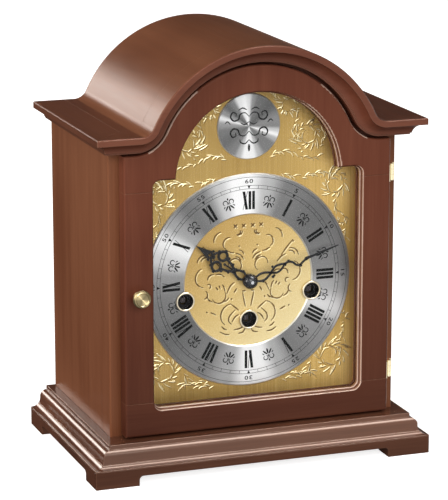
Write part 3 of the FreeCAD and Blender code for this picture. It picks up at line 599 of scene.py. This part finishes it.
def leaf_spray(centre, radius, first, sweep, leaves):
    """Leaf flecks outside and inside a fine spiral stem: the leaves, then the stem."""
    cuts = []
    hand = 1 if sweep > 0 else -1
    for leaf in range(leaves):
        share = LEAFY_STEM * (leaf + 0.3) / leaves
        at = first + sweep * share
        near = radius * (1 - STEM_CLOSES * share)
        size = 0.30 + 0.15 * ((leaf * 7) % 4)
        cuts.append(leaf_fleck(clock_point(near * 1.05, at, centre), at + hand * 42,
                               radius * size, 0.50 + 0.10 * (leaf % 3)))
        if leaf % 2:
            cuts.append(leaf_fleck(clock_point(near * 0.92, at + hand * 10, centre),
                                   at + hand * 120, radius * size * 0.8, 0.46))
        else:
            cuts.append(leaf_fleck(clock_point(near * 1.20, at - hand * 9, centre),
                                   at + hand * 12, radius * size * 0.55, 0.44))
    return cuts, [(curl(centre, radius, first, first + sweep * 0.9, 0.42 * radius), 0.26)]


SHORTEST_LEAF = 0.5
LEAF_SWINGS = (14, -34, -4, 22)


def long_leaf(points, half=0.62):
    """A long leaf made of overlapping flecks: the leaves, then their midrib."""
    path = smooth_path(points, 3)
    cuts = []
    for i in range(len(path) - 1):
        run = path[min(i + 2, len(path) - 1)] - path[i]
        if run.length < SHORTEST_LEAF:
            continue
        heading = math.degrees(math.atan2(run.x, run.y))
        swing = LEAF_SWINGS[i % len(LEAF_SWINGS)]
        cuts.append(leaf_fleck(path[i], heading + swing, 3.4 + 0.9 * (i % 3), half * 0.9))
    return cuts, [(path, 0.24)]


# The right half of the plate: sprays in its corners and arch, and long leaves between.
half_plate = [
    leaf_spray((64.5, 194.5), 9.2, 300, 540, 15),
    leaf_spray((44.4, 230.6), 9.4, 200, 560, 15),
    leaf_spray((29.8, 252.6), 6.6, 120, -470, 11),
    leaf_spray((62.7, 69.6), 10.6, 20, 540, 17),
    leaf_spray((70.5, 168.0), 3.6, 0, 400, 7),
    leaf_spray((71.5, 97.0), 3.8, 180, -400, 7),
    long_leaf([(40.5, 200.6), (46.0, 202.9), (52.0, 203.4), (57.5, 204.6)]),
    long_leaf([(24.5, 204.8), (30.0, 203.2), (35.5, 202.2)], 0.5),
    long_leaf([(16.5, 217.4), (21.0, 220.6), (28.0, 220.6), (36.0, 219.2)]),
    long_leaf([(38.5, 216.4), (46.0, 214.8), (54.5, 215.6)], 0.5),
    long_leaf([(53.5, 222.4), (57.0, 228.0), (56.5, 234.0)], 0.45),
    long_leaf([(26.0, 54.6), (34.0, 55.4), (43.0, 57.2), (50.0, 60.0)]),
    long_leaf([(30.0, 58.6), (37.0, 58.2), (43.0, 60.0)], 0.45),
    long_leaf([(48.0, 66.0), (46.5, 61.0), (50.0, 55.0)], 0.45),
    long_leaf([(66.0, 184.0), (65.4, 178.5), (68.6, 173.6)], 0.45),
    long_leaf([(74.0, 161.5), (72.6, 158.0), (74.6, 154.0)], 0.4),
    long_leaf([(33.4, 229.0), (33.6, 238.0), (37.4, 247.0)], 0.45),
    long_leaf([(24.0, 257.4), (20.0, 259.0), (17.6, 262.6)], 0.4),
    long_leaf([(73.6, 91.0), (71.8, 86.0), (72.6, 80.6)], 0.4),
]
plate_cuts = bmesh.new()
plate_shades = bmesh.new()
# Painted shade: each leaf has a dark copy set off toward the lower right.
SHADE_STEP = (0.50, -0.62)
for cuts, stems in half_plate:
    for path, half in cuts:
        for side in both_sides(path):
            add_strand(plate_cuts, side, half, ridge(plate_face, 0.12))
            add_strand(plate_shades, shifted(side, SHADE_STEP), half * 0.7, ridge(plate_face, 0.05))
    for path, half in stems:
        for side in both_sides(path):
            add_strand(plate_shades, side, half, ridge(plate_face, 0.06))
new_piece("plate_engraving", plate_cuts, cut_highlight, "case", "gilt")
new_piece("plate_engraving_shade", plate_shades, dark_cut, "case", "gilt")


def centre_scrolls():
    """The right half of the scrollwork, as spirals and lines about the hands' arbor."""
    arcs = [
        ((10.4, 11.3), 5.6, 215, 455, 4.4), ((14.3, 27.0), 4.9, -10, 150, 4.2),
        ((19.6, 29.6), 6.8, 8, 96, 6.0), ((32.0, 14.2), 6.6, -10, 80, 6.2),
        ((31.6, 14.6), 4.4, -15, 70, 4.0), ((32.2, 3.8), 7.6, 20, 168, 6.8),
        ((27.0, 2.2), 4.0, -20, 90, 3.2), ((29.8, -2.2), 1.9, 200, 400, 1.3),
        ((33.6, -8.6), 3.6, 330, 195, 2.8), ((22.2, -10.2), 5.6, 300, 112, 4.8),
        ((12.2, -25.2), 9.0, 5, 140, 8.0), ((7.6, 35.6), 2.4, 150, 300, 1.6),
        ((7.2, 36.2), 3.6, 160, 270, 2.6),
    ]
    lines = [
        [(3.2, 15.2), (5.4, 18.2), (9.4, 20.2)], [(5.0, 14.2), (7.0, 16.6), (9.6, 17.6)],
        [(3.0, 19.0), (4.4, 21.0), (6.8, 22.4)], [(6.4, 24.6), (7.2, 25.4)],
        [(10.4, 20.6), (13.0, 20.8), (16.4, 22.6)], [(24.8, 16.0), (29.0, 21.4), (33.8, 26.8)],
        [(21.6, 11.6), (25.0, 15.2), (28.4, 16.8)], [(33.6, 25.0), (34.4, 26.2)],
        [(10.2, -0.8), (13.4, -3.4), (16.2, -9.0)], [(19.4, -1.8), (18.0, -4.0), (17.2, -7.0)],
        [(21.8, -2.4), (20.6, -4.6)], [(24.2, -3.4), (22.6, -5.4)],
        [(8.6, -5.4), (10.6, -8.4)], [(12.0, -12.4), (13.0, -13.4)],
        [(14.4, -11.6), (16.0, -13.4), (18.6, -14.6)], [(4.2, -8.6), (3.2, -13.6), (2.0, -19.2)],
        [(2.0, -7.6), (4.6, -7.8)], [(16.0, -35.2), (18.0, -34.2), (20.0, -32.2)],
        [(7.0, -21.6), (9.4, -19.4), (13.2, -16.4)],
        [(9.6, -20.8), (14.0, -25.4), (14.4, -29.0), (12.4, -31.4)],
        [(7.0, -24.4), (9.8, -26.2), (12.2, -29.8)], [(3.2, -33.4), (6.4, -35.0), (10.8, -35.6)],
        [(2.2, -35.0), (4.0, -37.8), (7.4, -38.4)], [(24.0, -23.6), (28.2, -21.4)],
        [(30.4, -21.4), (31.4, -20.6)], [(26.6, -14.0), (29.4, -12.2), (30.6, -9.6)],
        [(17.6, 3.4), (20.6, 5.6), (24.4, 6.0)], [(14.0, -38.6), (17.6, -38.2), (21.4, -36.0)],
    ]
    for bud in (3.4, 9.6):
        lines += [[(bud - 1.3, 38.2), (bud + 1.3, 40.8)], [(bud - 1.3, 40.8), (bud + 1.3, 38.2)]]
    strokes = [curl(centre, r, first, last, end) for centre, r, first, last, end in arcs]
    strokes += [smooth_path(points, 4) for points in lines]
    return [shifted(stroke, (0.0, DIAL_Z)) for stroke in strokes]


CENTRE_HALF = 0.92
# Painted highlight: each centre cut has a pale copy set off toward the lower right.
LIGHT_STEP = (0.78, -0.84)
centre_cuts = bmesh.new()
centre_lights = bmesh.new()
for path in centre_scrolls():
    for side in both_sides(path):
        add_strand(centre_cuts, side, CENTRE_HALF, ridge(plate_face, 0.08), taper=0.4)
        add_strand(centre_lights, shifted(side, LIGHT_STEP), CENTRE_HALF * 0.55,
                   ridge(plate_face, 0.05))
new_piece("centre_engraving", centre_cuts, dark_cut, "case", "gilt")
new_piece("centre_engraving_light", centre_lights, cut_highlight, "case", "gilt")


# --- Chapter ring ----------------------------------------------------------------
# A spun and silvered ring with bevelled edges. Its hours, half-hour marks, minute track
# and small minute numbers are printed in black.
def spun_metal(name, centre, stops, rough, colour=(1.0, 1.0, 1.0), metallic=0.55):
    """Turned in a lathe and polished across. The bright and dark wedges of its reflection
    are painted into the base colour by angle, as painted highlights and painted shade.
    """
    made, shader, add, place = new_finish(name)
    distance, share = polar(add, place, centre)
    wedge = colours(add, "bright wedges", share,
                    [(degrees / 360, level) for degrees, level in stops], "EASE")
    turning = add("ShaderNodeTexNoise", "turning lines",
                  {"W": distance, "Scale": 5200.0, "Detail": 2.0}, "Fac", noise_dimensions="1D")
    lines = spread(add, "line depth", turning, 0.80, 1.16)
    metal = add("ShaderNodeVectorMath", "metal colour", {0: wedge, 1: colour},
                operation="MULTIPLY")
    feed(shader, {
        "Base Color": scaled(add, "lined metal", metal, lines),
        "Metallic": metallic,
        "Roughness": spread(add, "satin", turning, rough, rough + 0.12),
    })
    return made


# Degrees clockwise from XII, and how bright the painted reflection makes the metal there.
RING_PAINTED_SHEEN = [
    (0, 1.0), (11, 0.52), (24, 0.20), (52, 0.15), (84, 0.24), (98, 0.42), (111, 0.74),
    (126, 0.27), (147, 0.19), (160, 0.42), (171, 0.90), (182, 0.90), (193, 0.40), (210, 0.20),
    (238, 0.14), (260, 0.20), (276, 0.30), (287, 0.66), (297, 0.92), (308, 0.38), (320, 0.18),
    (332, 0.24), (342, 0.62), (351, 1.0), (360, 1.0),
]
ring_silver = spun_metal("ring_silver", (0.0, DIAL_Z), RING_PAINTED_SHEEN, 0.34)
bright_edge = worked_metal("bright_edge", (0.66, 0.64, 0.58), (0.86, 0.84, 0.78), 0.36,
                           metallic=0.55)
FLAT_FACE = 0.95


def finish_spun(name, face_finish):
    """Give a spun piece its face finish, and bright bevelled edges."""
    for face in finish_node(name, face_finish, bright_edge).polygons:
        if abs(face.normal.y) < FLAT_FACE:
            face.material_index = 1


finish_spun("chapter_ring", ring_silver)


def printed(name, tone, rough):
    """Printing ink with a slightly uneven film."""
    made, shader, add, place = new_finish(name)
    film = noise(add, "film", place, 900.0)
    feed(shader, {
        "Base Color": colours(add, "ink", film, [(0.3, tone * 0.6), (0.7, tone * 1.6)]),
        "Roughness": spread(add, "film gloss", film, rough, rough + 0.15),
        "Specular IOR Level": 0.12,
    })
    return made


black_ink = printed("black_ink", 0.008, 0.42)
INK = 0.05
INK_SUNK = 0.03
HOUR_TURN = 30.0
ink_front = ring_face - INK
ink_back = ring_face + INK_SUNK
ink_section = [(-1.0, ink_back), (-1.0, ink_front), (1.0, ink_front), (1.0, ink_back)]
NUMERAL_IN = 51.2
NUMERAL_OUT = 64.2
STEM = 0.98
HAIR = 0.20
LETTER_STEP = {"I": 2.75, "V": 4.0, "X": 4.1}


def letter_bars(letter, x):
    """The bars of one letter as (foot, head, half width), upright at XII."""
    low = NUMERAL_IN
    high = NUMERAL_OUT
    if letter == "I":
        return [((x, low), (x, high), STEM)]
    if letter == "V":
        return [((x + 0.3, low), (x - 1.2, high), STEM), ((x + 0.5, low), (x + 1.7, high), HAIR)]
    return [((x + 1.1, low), (x - 1.1, high), STEM), ((x - 1.7, low), (x + 1.7, high), HAIR)]


def turned_path(points, degrees):
    """A path drawn for XII, turned clockwise about the middle of the dial."""
    turned = math.radians(degrees)
    return [
        Vector((x * math.cos(turned) + z * math.sin(turned),
                DIAL_Z - x * math.sin(turned) + z * math.cos(turned)))
        for x, z in points
    ]


numerals = bmesh.new()
HOURS = ("XII", "I", "II", "III", "IIII", "V", "VI", "VII", "VIII", "IX", "X", "XI")
for hour, letters in enumerate(HOURS):
    width = sum(LETTER_STEP[letter] for letter in letters)
    x = -width / 2
    for letter in letters:
        x += LETTER_STEP[letter] / 2
        for foot, head, half in letter_bars(letter, x):
            outline = [(foot[0] - half, foot[1]), (foot[0] + half, foot[1]),
                       (head[0] + half, head[1]), (head[0] - half, head[1])]
            add_plate(numerals, turned_path(outline, HOUR_TURN * hour), ink_front, ink_back)
        x += LETTER_STEP[letter] / 2
new_piece("hour_numerals", numerals, black_ink, "case", "black_steel")


def repeat_tree():
    """Geometry nodes that set copies of a shape, drawn at XII, round a dial."""
    tree = bpy.data.node_groups.new("round_the_dial", "GeometryNodeTree")
    for name, kind in (("Geometry", "Geometry"), ("Count", "Int"), ("Radius", "Float"),
                       ("First Angle", "Float"), ("Centre Height", "Float"),
                       ("Finish", "Material")):
        tree.interface.new_socket(name, in_out="INPUT", socket_type="NodeSocket" + kind)
    tree.interface.new_socket("Geometry", in_out="OUTPUT", socket_type="NodeSocketGeometry")
    add = nodes_of(tree)

    def sums(label, operation, *values):
        return add("ShaderNodeMath", label, dict(enumerate(values)), operation=operation)

    given = add("NodeGroupInput", "sizes", {}).node.outputs
    step = sums("step", "DIVIDE", 2 * math.pi, given["Count"])
    along = sums("steps so far", "MULTIPLY", add("GeometryNodeInputIndex", "copy", {}), step)
    angle = sums("angle", "ADD", along, given["First Angle"])
    across = sums("across", "MULTIPLY", sums("sine", "SINE", angle), given["Radius"])
    rise = sums("rise", "MULTIPLY", sums("cosine", "COSINE", angle), given["Radius"])
    height = sums("height", "ADD", rise, given["Centre Height"])
    spot = add("ShaderNodeCombineXYZ", "spot", {"X": across, "Z": height})
    points = add("GeometryNodePoints", "spots", {"Count": given["Count"], "Position": spot})
    twist = add("ShaderNodeCombineXYZ", "about the arbor", {"Y": angle})
    rotation = add("FunctionNodeEulerToRotation", "turn", {0: twist})
    copies = add("GeometryNodeInstanceOnPoints", "copies",
                 {"Points": points, "Instance": given["Geometry"], "Rotation": rotation})
    real = add("GeometryNodeRealizeInstances", "real copies", {"Geometry": copies})
    finish = add("GeometryNodeSetMaterial", "finish",
                 {"Geometry": real, "Material": given["Finish"]})
    feed(tree.nodes.new("NodeGroupOutput"), {"Geometry": finish})
    return tree


round_the_dial = repeat_tree()


def plain_mesh(piece):
    """What an object looks like once it is worked out, as a mesh of its own."""
    depsgraph = bpy.context.evaluated_depsgraph_get()
    return bpy.data.meshes.new_from_object(piece.evaluated_get(depsgraph))


def ring_of_copies(name, shape, count, radius, first_degrees=0.0):
    """Print a shape round the dial, then keep the result as a plain mesh."""
    piece = made_of(name, shape)
    repeat = piece.modifiers.new("round the dial", "NODES")
    repeat.node_group = round_the_dial
    values = {"Count": count, "Radius": radius * MM, "First Angle": math.radians(first_degrees),
              "Centre Height": DIAL_Z * MM, "Finish": black_ink}
    for socket in round_the_dial.interface.items_tree:
        if socket.in_out == "INPUT" and socket.name in values:
            repeat[socket.identifier] = values[socket.name]
    plain = plain_mesh(piece)
    piece.modifiers.clear()
    piece.data = plain
    settle(piece, "case", "black_steel")


def round_path(radius, sides, centre=(0.0, DIAL_Z)):
    """A circle on the dial, as evenly spaced points."""
    return [clock_point(radius, 360.0 * side / sides, centre) for side in range(sides)]


TRACK = (66.0, 68.3)
RIM_LINE_R = 74.2
LINE_HALF = 0.13
PROUD = 0.005  # each later print stands this much above the one that it crosses
for label, radius in (("inner_track_line", TRACK[0]), ("outer_track_line", TRACK[1]),
                      ("rim_line", RIM_LINE_R)):
    line = bmesh.new()
    add_strand(line, round_path(radius, 120), LINE_HALF, ink_section, closed=True)
    new_piece(label, line, black_ink, "case", "black_steel")
minute_bar = bmesh.new()
TRACK_MIDDLE = sum(TRACK) / 2
bar_half = (TRACK[1] - TRACK[0]) / 2
add_plate(minute_bar, [(-LINE_HALF, -bar_half), (LINE_HALF, -bar_half),
                       (LINE_HALF, bar_half), (-LINE_HALF, bar_half)],
          ink_front - PROUD, ink_back)
ring_of_copies("minute_bars", minute_bar, 60, TRACK_MIDDLE)
pointer = bmesh.new()
add_plate(pointer, [(0.0, -1.3), (1.05, 1.0), (-1.05, 1.0)], ink_front - 2 * PROUD, ink_back)
ring_of_copies("five_minute_marks", pointer, len(HOURS), TRACK_MIDDLE)

HALF_HOUR_R = 57.6
half_mark = bmesh.new()
mark_section = [(side, depth - PROUD) for side, depth in ink_section]
half_strokes = [
    (smooth_path([(0.0, -4.7), (0.0, -3.0), (0.0, -0.8)]), 0.62),
    (smooth_path([(0.0, 3.2), (0.0, 4.0), (0.0, 4.9)]), 0.50),
    (smooth_path([(0.0, -0.2), (0.0, 0.7), (0.0, 1.6)]), 0.34),
]
for side in (-1, 1):
    half_strokes += [
        (smooth_path([(0.7 * side, -0.6), (1.8 * side, -1.9), (3.2 * side, -3.7)]), 0.56),
        (curl((2.35 * side, 1.7), 1.75, 215 * side, 515 * side, 1.5), 0.36),
        (smooth_path([(2.9 * side, -0.6), (3.6 * side, -1.2), (4.1 * side, -2.0)]), 0.34),
    ]
for path, half in half_strokes:
    add_strand(half_mark, path, half, mark_section, taper=0.45)
ring_of_copies("half_hour_marks", half_mark, len(HOURS), HALF_HOUR_R, HOUR_TURN / 2)

MINUTE_FIGURE_R = 71.2
FIGURE_SIZE = 4.0
FIGURE_WIDTH = 1.45
figures = bmesh.new()
upright = Matrix.Rotation(math.pi / 2, 4, "X")
wide = Matrix.Scale(FIGURE_WIDTH, 4, (1.0, 0.0, 0.0))
outward = Matrix.Translation((0.0, ring_face - INK / 2, MINUTE_FIGURE_R))
for hour in range(1, len(HOURS) + 1):
    text = bpy.data.curves.new("figure", "FONT")
    text.body = str(5 * hour)
    text.size = FIGURE_SIZE
    text.align_x = "CENTER"
    text.align_y = "CENTER"
    text.extrude = INK / 2
    text.resolution_u = 3
    text.space_character = 1.15
    text.offset = 0.05
    holder = bpy.data.objects.new("figure", text)
    scene.collection.objects.link(holder)
    flat_figure = plain_mesh(holder)
    bpy.data.objects.remove(holder)
    turned = Matrix.Rotation(math.radians(HOUR_TURN * hour), 4, "Y")
    about = Matrix.Translation((0.0, 0.0, DIAL_Z)) @ turned
    flat_figure.transform(Matrix.Scale(MM, 4) @ about @ outward @ wide @ upright)
    figures.from_mesh(flat_figure)
    bpy.data.meshes.remove(flat_figure)
bmesh.ops.remove_doubles(figures, verts=figures.verts, dist=1e-7)
new_piece("minute_figures", figures, black_ink, "case", "black_steel")


# --- Arch disc -------------------------------------------------------------------
# A small spun and silvered disc riveted in the arch, with a bevelled rim and a printed
# flourish of mirrored curls.
def middle_of(node_name):
    """The middle of a node, across the dial and up it."""
    low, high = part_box(node_name)
    return (low[0] + high[0]) / 2 / MM, (low[2] + high[2]) / 2 / MM


DISC_Z = middle_of("arch_disc")[1]
disc_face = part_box("arch_disc")[0][1] / MM
# Degrees clockwise from XII, and how bright the painted reflection makes the disc there.
DISC_PAINTED_SHEEN = [
    (0, 0.80), (9, 0.30), (20, 0.17), (50, 0.12), (78, 0.26), (92, 0.24), (101, 0.62),
    (109, 0.95), (117, 0.45), (128, 0.20), (146, 0.20), (160, 0.48), (171, 0.90), (189, 0.93),
    (200, 0.50), (212, 0.22), (240, 0.15), (262, 0.19), (278, 0.34), (289, 0.85), (298, 0.30),
    (312, 0.13), (326, 0.22), (337, 0.85), (350, 0.98), (360, 0.80),
]
finish_spun("arch_disc", spun_metal("disc_silver", (0.0, DISC_Z), DISC_PAINTED_SHEEN, 0.30))
flourish = bmesh.new()
disc_section = [(side, depth + disc_face - ring_face) for side, depth in ink_section]
disc_strokes = [
    ([(0.0, 7.0), (3.0, 9.8), (6.6, 8.8), (7.8, 5.4), (11.2, 4.4), (13.6, 7.0), (12.4, 10.2),
      (9.6, 9.6), (9.8, 7.4)], 0.56),
    ([(1.6, 11.8), (4.8, 13.2), (7.8, 11.8)], 0.46),
    ([(0.0, -3.2), (3.2, -6.4), (6.8, -5.6), (8.2, -2.2), (11.6, -1.2), (13.8, -3.8),
      (12.4, -6.9), (9.8, -6.2), (10.2, -4.0)], 0.56),
    ([(13.8, 2.2), (16.0, 4.2), (17.8, 2.8)], 0.44),
    ([(0.0, 3.4), (3.2, 1.4), (6.4, 2.8)], 0.42),
    ([(0.0, -9.4), (3.0, -12.0), (6.2, -11.0), (6.8, -8.8)], 0.50),
]
for points, half in disc_strokes:
    for side in both_sides(shifted(smooth_path(points), (0.0, DISC_Z))):
        add_strand(flourish, side, half, disc_section)
drop = smooth_path([(0.0, -12.6), (0.0, -15.0), (0.0, -17.6)])
add_strand(flourish, shifted(drop, (0.0, DISC_Z)), 0.85, disc_section)
new_piece("disc_flourish", flourish, black_ink, "case", "black_steel")


# --- Winding holes ---------------------------------------------------------------
# Each winding square stands in a gilt-rimmed well with a black enamelled throat. A black
# cup put behind it as painted shade reaches back to the movement's front plate, so the
# well reads dark.
WELL_R = 5.6
enamel = worked_metal("black_enamel", (0.004, 0.003, 0.003), (0.012, 0.009, 0.009), 0.40, "Y",
                      metallic=0.0, specular=0.25)
pale_gilt = worked_metal("pale_gilt", (0.62, 0.54, 0.38), (0.88, 0.80, 0.62), 0.28, "Y")
wells = [middle_of("winding_arbor_" + side) for side in ("left", "centre", "right")]
for face in finish_node("winding_grommets", pale_gilt, enamel).polygons:
    spot = Vector((face.center.x, face.center.z)) / MM
    if min((spot - Vector(well)).length for well in wells) < WELL_R:
        face.material_index = 1
CUP_OUTSIDE = 6.0
CUP_INSIDE = 5.5
CUP_HOLE = 3.0
CUP_FLOOR = 0.5
CUP_CLEAR = 0.1
CUP_SIDES = 40


def add_turned(mesh, centre, profile):
    """A closed ring turned about a line through the dial. The profile lists its (radius,
    depth) corners in order."""
    rings = [
        [mesh.verts.new((spot.x * MM, depth * MM, spot.y * MM))
         for spot in round_path(radius, CUP_SIDES, centre)]
        for radius, depth in profile
    ]
    for here, there in zip(rings, rings[1:] + rings[:1]):
        for side in range(CUP_SIDES):
            mesh.faces.new((here[side - 1], here[side], there[side], there[side - 1]))


cup_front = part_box("dial_plate")[1][1] / MM + CUP_CLEAR
cup_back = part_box("movement_front_plate")[0][1] / MM - CUP_CLEAR
cup_profile = [
    (CUP_OUTSIDE, cup_front), (CUP_OUTSIDE, cup_back), (CUP_HOLE, cup_back),
    (CUP_HOLE, cup_back - CUP_FLOOR), (CUP_INSIDE, cup_back - CUP_FLOOR), (CUP_INSIDE, cup_front),
]
shade_cups = bmesh.new()
for well in wells:
    add_turned(shade_cups, well, cup_profile)
new_piece("winding_shade_cups", shade_cups, enamel, "case", "black_steel")


# --- Hands -----------------------------------------------------------------------
# Pierced steel hands, japanned black, standing near ten past ten. The hour hand sits on
# the hour pipe and the minute hand on the centre arbor, where a domed nut holds it.
HOUR_ANGLE = 305.6
MINUTE_ANGLE = 72.3
BLADE_SUNK = 0.05
HAND_EASED = 0.16
FLAT_SHARE = 0.55
japan_black = worked_metal("japan_black", (0.005, 0.005, 0.006), (0.016, 0.016, 0.018), 0.30,
                           metallic=0.0, specular=0.3)


def hand_section(front, rear):
    """A flat bar with eased front edges, as thick as the hand's blank."""
    eased = front + HAND_EASED
    return [(-1.0, rear), (-1.0, eased), (-FLAT_SHARE, front), (FLAT_SHARE, front),
            (1.0, eased), (1.0, rear)]


def make_hand(name, angle, body, bars, rings, knops, blade, hub):
    """Bars, open rings, round knops and a pointed blade, all of one thickness."""
    front, rear = (corner[1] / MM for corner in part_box(name))
    section = hand_section(front, rear)
    mesh = bmesh.new()
    for points, half in bars:
        add_strand(mesh, turned_path(smooth_path(points), angle), half, section, taper=0.8)
    for centre, radius, half in rings:
        circle = round_path(radius, 24, centre)
        add_strand(mesh, turned_path(circle, angle), half, section, closed=True)
    for centre, radius in knops:
        add_plate(mesh, turned_path(round_path(radius, 10, centre), angle), front, rear)
    outline = blade + [(-x, z) for x, z in reversed(blade) if x > 0]
    add_plate(mesh, turned_path(outline, angle), front + BLADE_SUNK, rear)
    inner, outer = hub
    collar = round_path((inner + outer) / 2, 36, (0.0, 0.0))
    add_strand(mesh, turned_path(collar, angle), (outer - inner) / 2, section, closed=True)
    new_piece(name + "_pierced", mesh, japan_black, body, "black_steel", name)


hour_bars = [([(0.0, 13.6), (0.0, 17.6), (0.0, 22.6)], 0.62)]
hour_knops = [((0.0, 33.6), 1.35), ((0.0, 23.2), 1.0)]
hour_rings = [((0.0, 36.7), 1.9, 0.78)]
for side in (-1, 1):
    hour_bars += [
        ([(1.6 * side, 4.4), (2.7 * side, 7.6), (2.3 * side, 11.0), (0.5 * side, 13.8)], 0.90),
        ([(0.4 * side, 13.2), (1.6 * side, 16.4), (3.0 * side, 19.6), (3.7 * side, 24.0)], 0.92),
        ([(4.4 * side, 31.2), (3.4 * side, 33.4), (1.3 * side, 34.4)], 0.85),
    ]
    hour_rings += [((4.3 * side, 27.8), 3.3, 0.92)]
    hour_knops += [((8.4 * side, 27.8), 1.1), ((5.6 * side, 32.0), 1.1),
                   ((5.1 * side, 23.0), 1.15), ((3.5 * side, 36.0), 0.95),
                   ((3.3 * side, 17.8), 0.9), ((3.4 * side, 8.4), 0.85), ((1.5 * side, 13.8), 1.0)]
hour_blade = [(0.0, 38.0), (1.7, 38.2), (3.4, 36.4), (2.2, 40.4), (1.15, 44.4), (0.22, 49.0)]
make_hand("hour_hand", HOUR_ANGLE, "hour_pipe", hour_bars, hour_rings, hour_knops, hour_blade,
          (2.6, 5.2))

minute_scrolls = [
    ([(1.2, 3.8), (2.6, 7.4), (2.7, 10.6), (1.2, 14.0), (-0.3, 16.4)], 0.80),
    ([(-1.2, 3.8), (-2.4, 7.4), (-2.4, 10.8), (-1.2, 14.4), (0.4, 17.4), (0.8, 19.4)], 0.80),
    ([(-0.2, 16.0), (-2.2, 18.4), (-3.5, 21.0), (-3.3, 24.6), (-2.6, 27.6), (-2.8, 30.6),
      (-1.2, 33.6), (1.6, 35.6), (2.6, 38.2), (1.4, 41.0), (0.2, 44.0)], 0.80),
    ([(0.2, 16.8), (1.3, 19.8), (0.9, 23.0), (-0.6, 25.6), (-2.4, 27.4)], 0.72),
]
minute_knops = [((3.1, 16.6), 1.0), ((-0.3, 15.6), 1.2), ((2.5, 17.8), 0.8), ((-4.0, 18.4), 0.9),
                ((3.1, 38.4), 1.15), ((0.2, 43.8), 1.3), ((-3.5, 31.0), 0.9),
                ((-1.9, 27.6), 1.1), ((3.5, 8.6), 0.8)]
minute_blade = [(0.0, 42.6), (1.1, 43.8), (0.72, 50.0), (0.85, 56.0), (0.55, 62.0), (0.2, 69.6)]
make_hand("minute_hand", MINUTE_ANGLE, "minute_arbor", minute_scrolls, [], minute_knops,
          minute_blade, (1.2, 4.6))
finish_node("hand_nut", worked_metal("nut_enamel", (0.010, 0.011, 0.014), (0.030, 0.033, 0.040),
                                     0.20, metallic=0.0))


# --- Front door ------------------------------------------------------------------
# Two stiles, an arched head and a bottom rail, glued and lacquered as one frame. The
# glass lies in its rebate behind, under a thin bead.
# The door's colour is painted darker toward its foot, as painted shade.
DOOR_FOOT_SHADE = 0.50
EASED_HIGHLIGHT = (0.66, 0.47, 0.38)
stile_wood = lacquered_wood("stile_wood", "Z", FRONT_DARK, FRONT_PALE, shine=0.11, foot=DOOR_FOOT_SHADE)
rail_wood = lacquered_wood("rail_wood", "X", FRONT_DARK, FRONT_PALE, shine=0.11, foot=DOOR_FOOT_SHADE)
# The reveals take a paler copy of the front wood, as painted light, under a glossier lacquer.
reveal_painted_light = lacquered_wood("reveal_painted_light", "Z", (0.16, 0.060, 0.034), (0.26, 0.115, 0.068),
                             0.16, 0.62)
# Painted highlight: a pale wood colour on the eased edges that face up or to the left.
edge_highlight = lacquered_wood("edge_highlight", "X", (0.42, 0.26, 0.19), EASED_HIGHLIGHT, 0.22, 0.5, EASED_HIGHLIGHT)
door_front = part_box("door_head")[0][1]
OPENING_HALF = 0.0805
OPENING_FOOT = 0.0460
OPENING_TOP = 0.2705
EASED_DEPTH = 0.0052
REVEAL_TILT, EASED_TILT, FRONT_TILT = 0.2, 0.3, 0.97
REVEAL, HIGHLIGHT_EDGE = 1, 2


def dress_opening(name, plain):
    """Polish the sides of the window opening under a paler colour that is painted light, and
    give the eased edges that face up or to the left a pale painted highlight."""
    for face in finish_node(name, plain, reveal_painted_light, edge_highlight).polygons:
        x, y, z = face.center
        if abs(x) > OPENING_HALF or not OPENING_FOOT < z < OPENING_TOP:
            continue
        if abs(face.normal.y) < REVEAL_TILT:
            face.material_index = REVEAL
        elif abs(face.normal.y) < FRONT_TILT and y < door_front + EASED_DEPTH:
            if face.normal.z > EASED_TILT or face.normal.x < -EASED_TILT:
                face.material_index = HIGHLIGHT_EDGE


dress_opening("door_bottom_rail", rail_wood)
dress_opening("door_stiles", stile_wood)
dress_opening("door_head", stile_wood)
finish_node("glass_bead", stile_wood)


def clear_glass():
    """Thin window glass: nearly all clear, with the faintest unevenness."""
    made, shader, add, place = new_finish("clear_glass")
    wave = noise(add, "drawn waves", place, 9.0, 1.0)
    feed(shader, {
        "Base Color": (0.03, 0.04, 0.04, 1.0),
        "Roughness": spread(add, "surface", wave, 0.01, 0.03),
        "Alpha": spread(add, "thickness", wave, 0.02, 0.05),
    })
    return made


finish_node("door_glass", clear_glass())


# --- Door furniture --------------------------------------------------------------
# A turned brass knob screwed through the left stile, and two small butt hinges whose
# knuckles show beside the right stile. A magnet in the case holds a strike on the door.
hinge_brass = worked_metal("hinge_brass", (0.72, 0.58, 0.34), (0.94, 0.84, 0.60), 0.20, "Z")
# Degrees about the knob's middle, and how bright the painted reflection makes the turned face
# there.
KNOB_PAINTED_SHEEN = [
    (0, 0.34), (45, 0.20), (90, 0.24), (124, 0.60), (138, 0.95), (154, 0.46), (200, 0.18),
    (260, 0.24), (300, 0.55), (318, 1.0), (336, 0.55), (360, 0.34),
]
spun_brass = spun_metal("spun_brass", middle_of("door_knob"), KNOB_PAINTED_SHEEN, 0.26,
                        (1.0, 0.80, 0.42), 0.75)
finish_node("door_knob", spun_brass)
for name in ("knob_screw", "catch_magnet", "catch_strike"):
    finish_node(name, bright_steel)
for name in ("hinge_door_leaves", "hinge_case_leaves", "hinge_pins", "back_hinge_leaves",
             "back_hinge_knuckles"):
    finish_node(name, hinge_brass)


# --- Back door -------------------------------------------------------------------
# A thin board with a finger hole and rows of sound holes, hinged on the right, that
# shuts against two stops.
finish_node("back_door", inner_wood)
finish_node("back_stops", inner_wood)
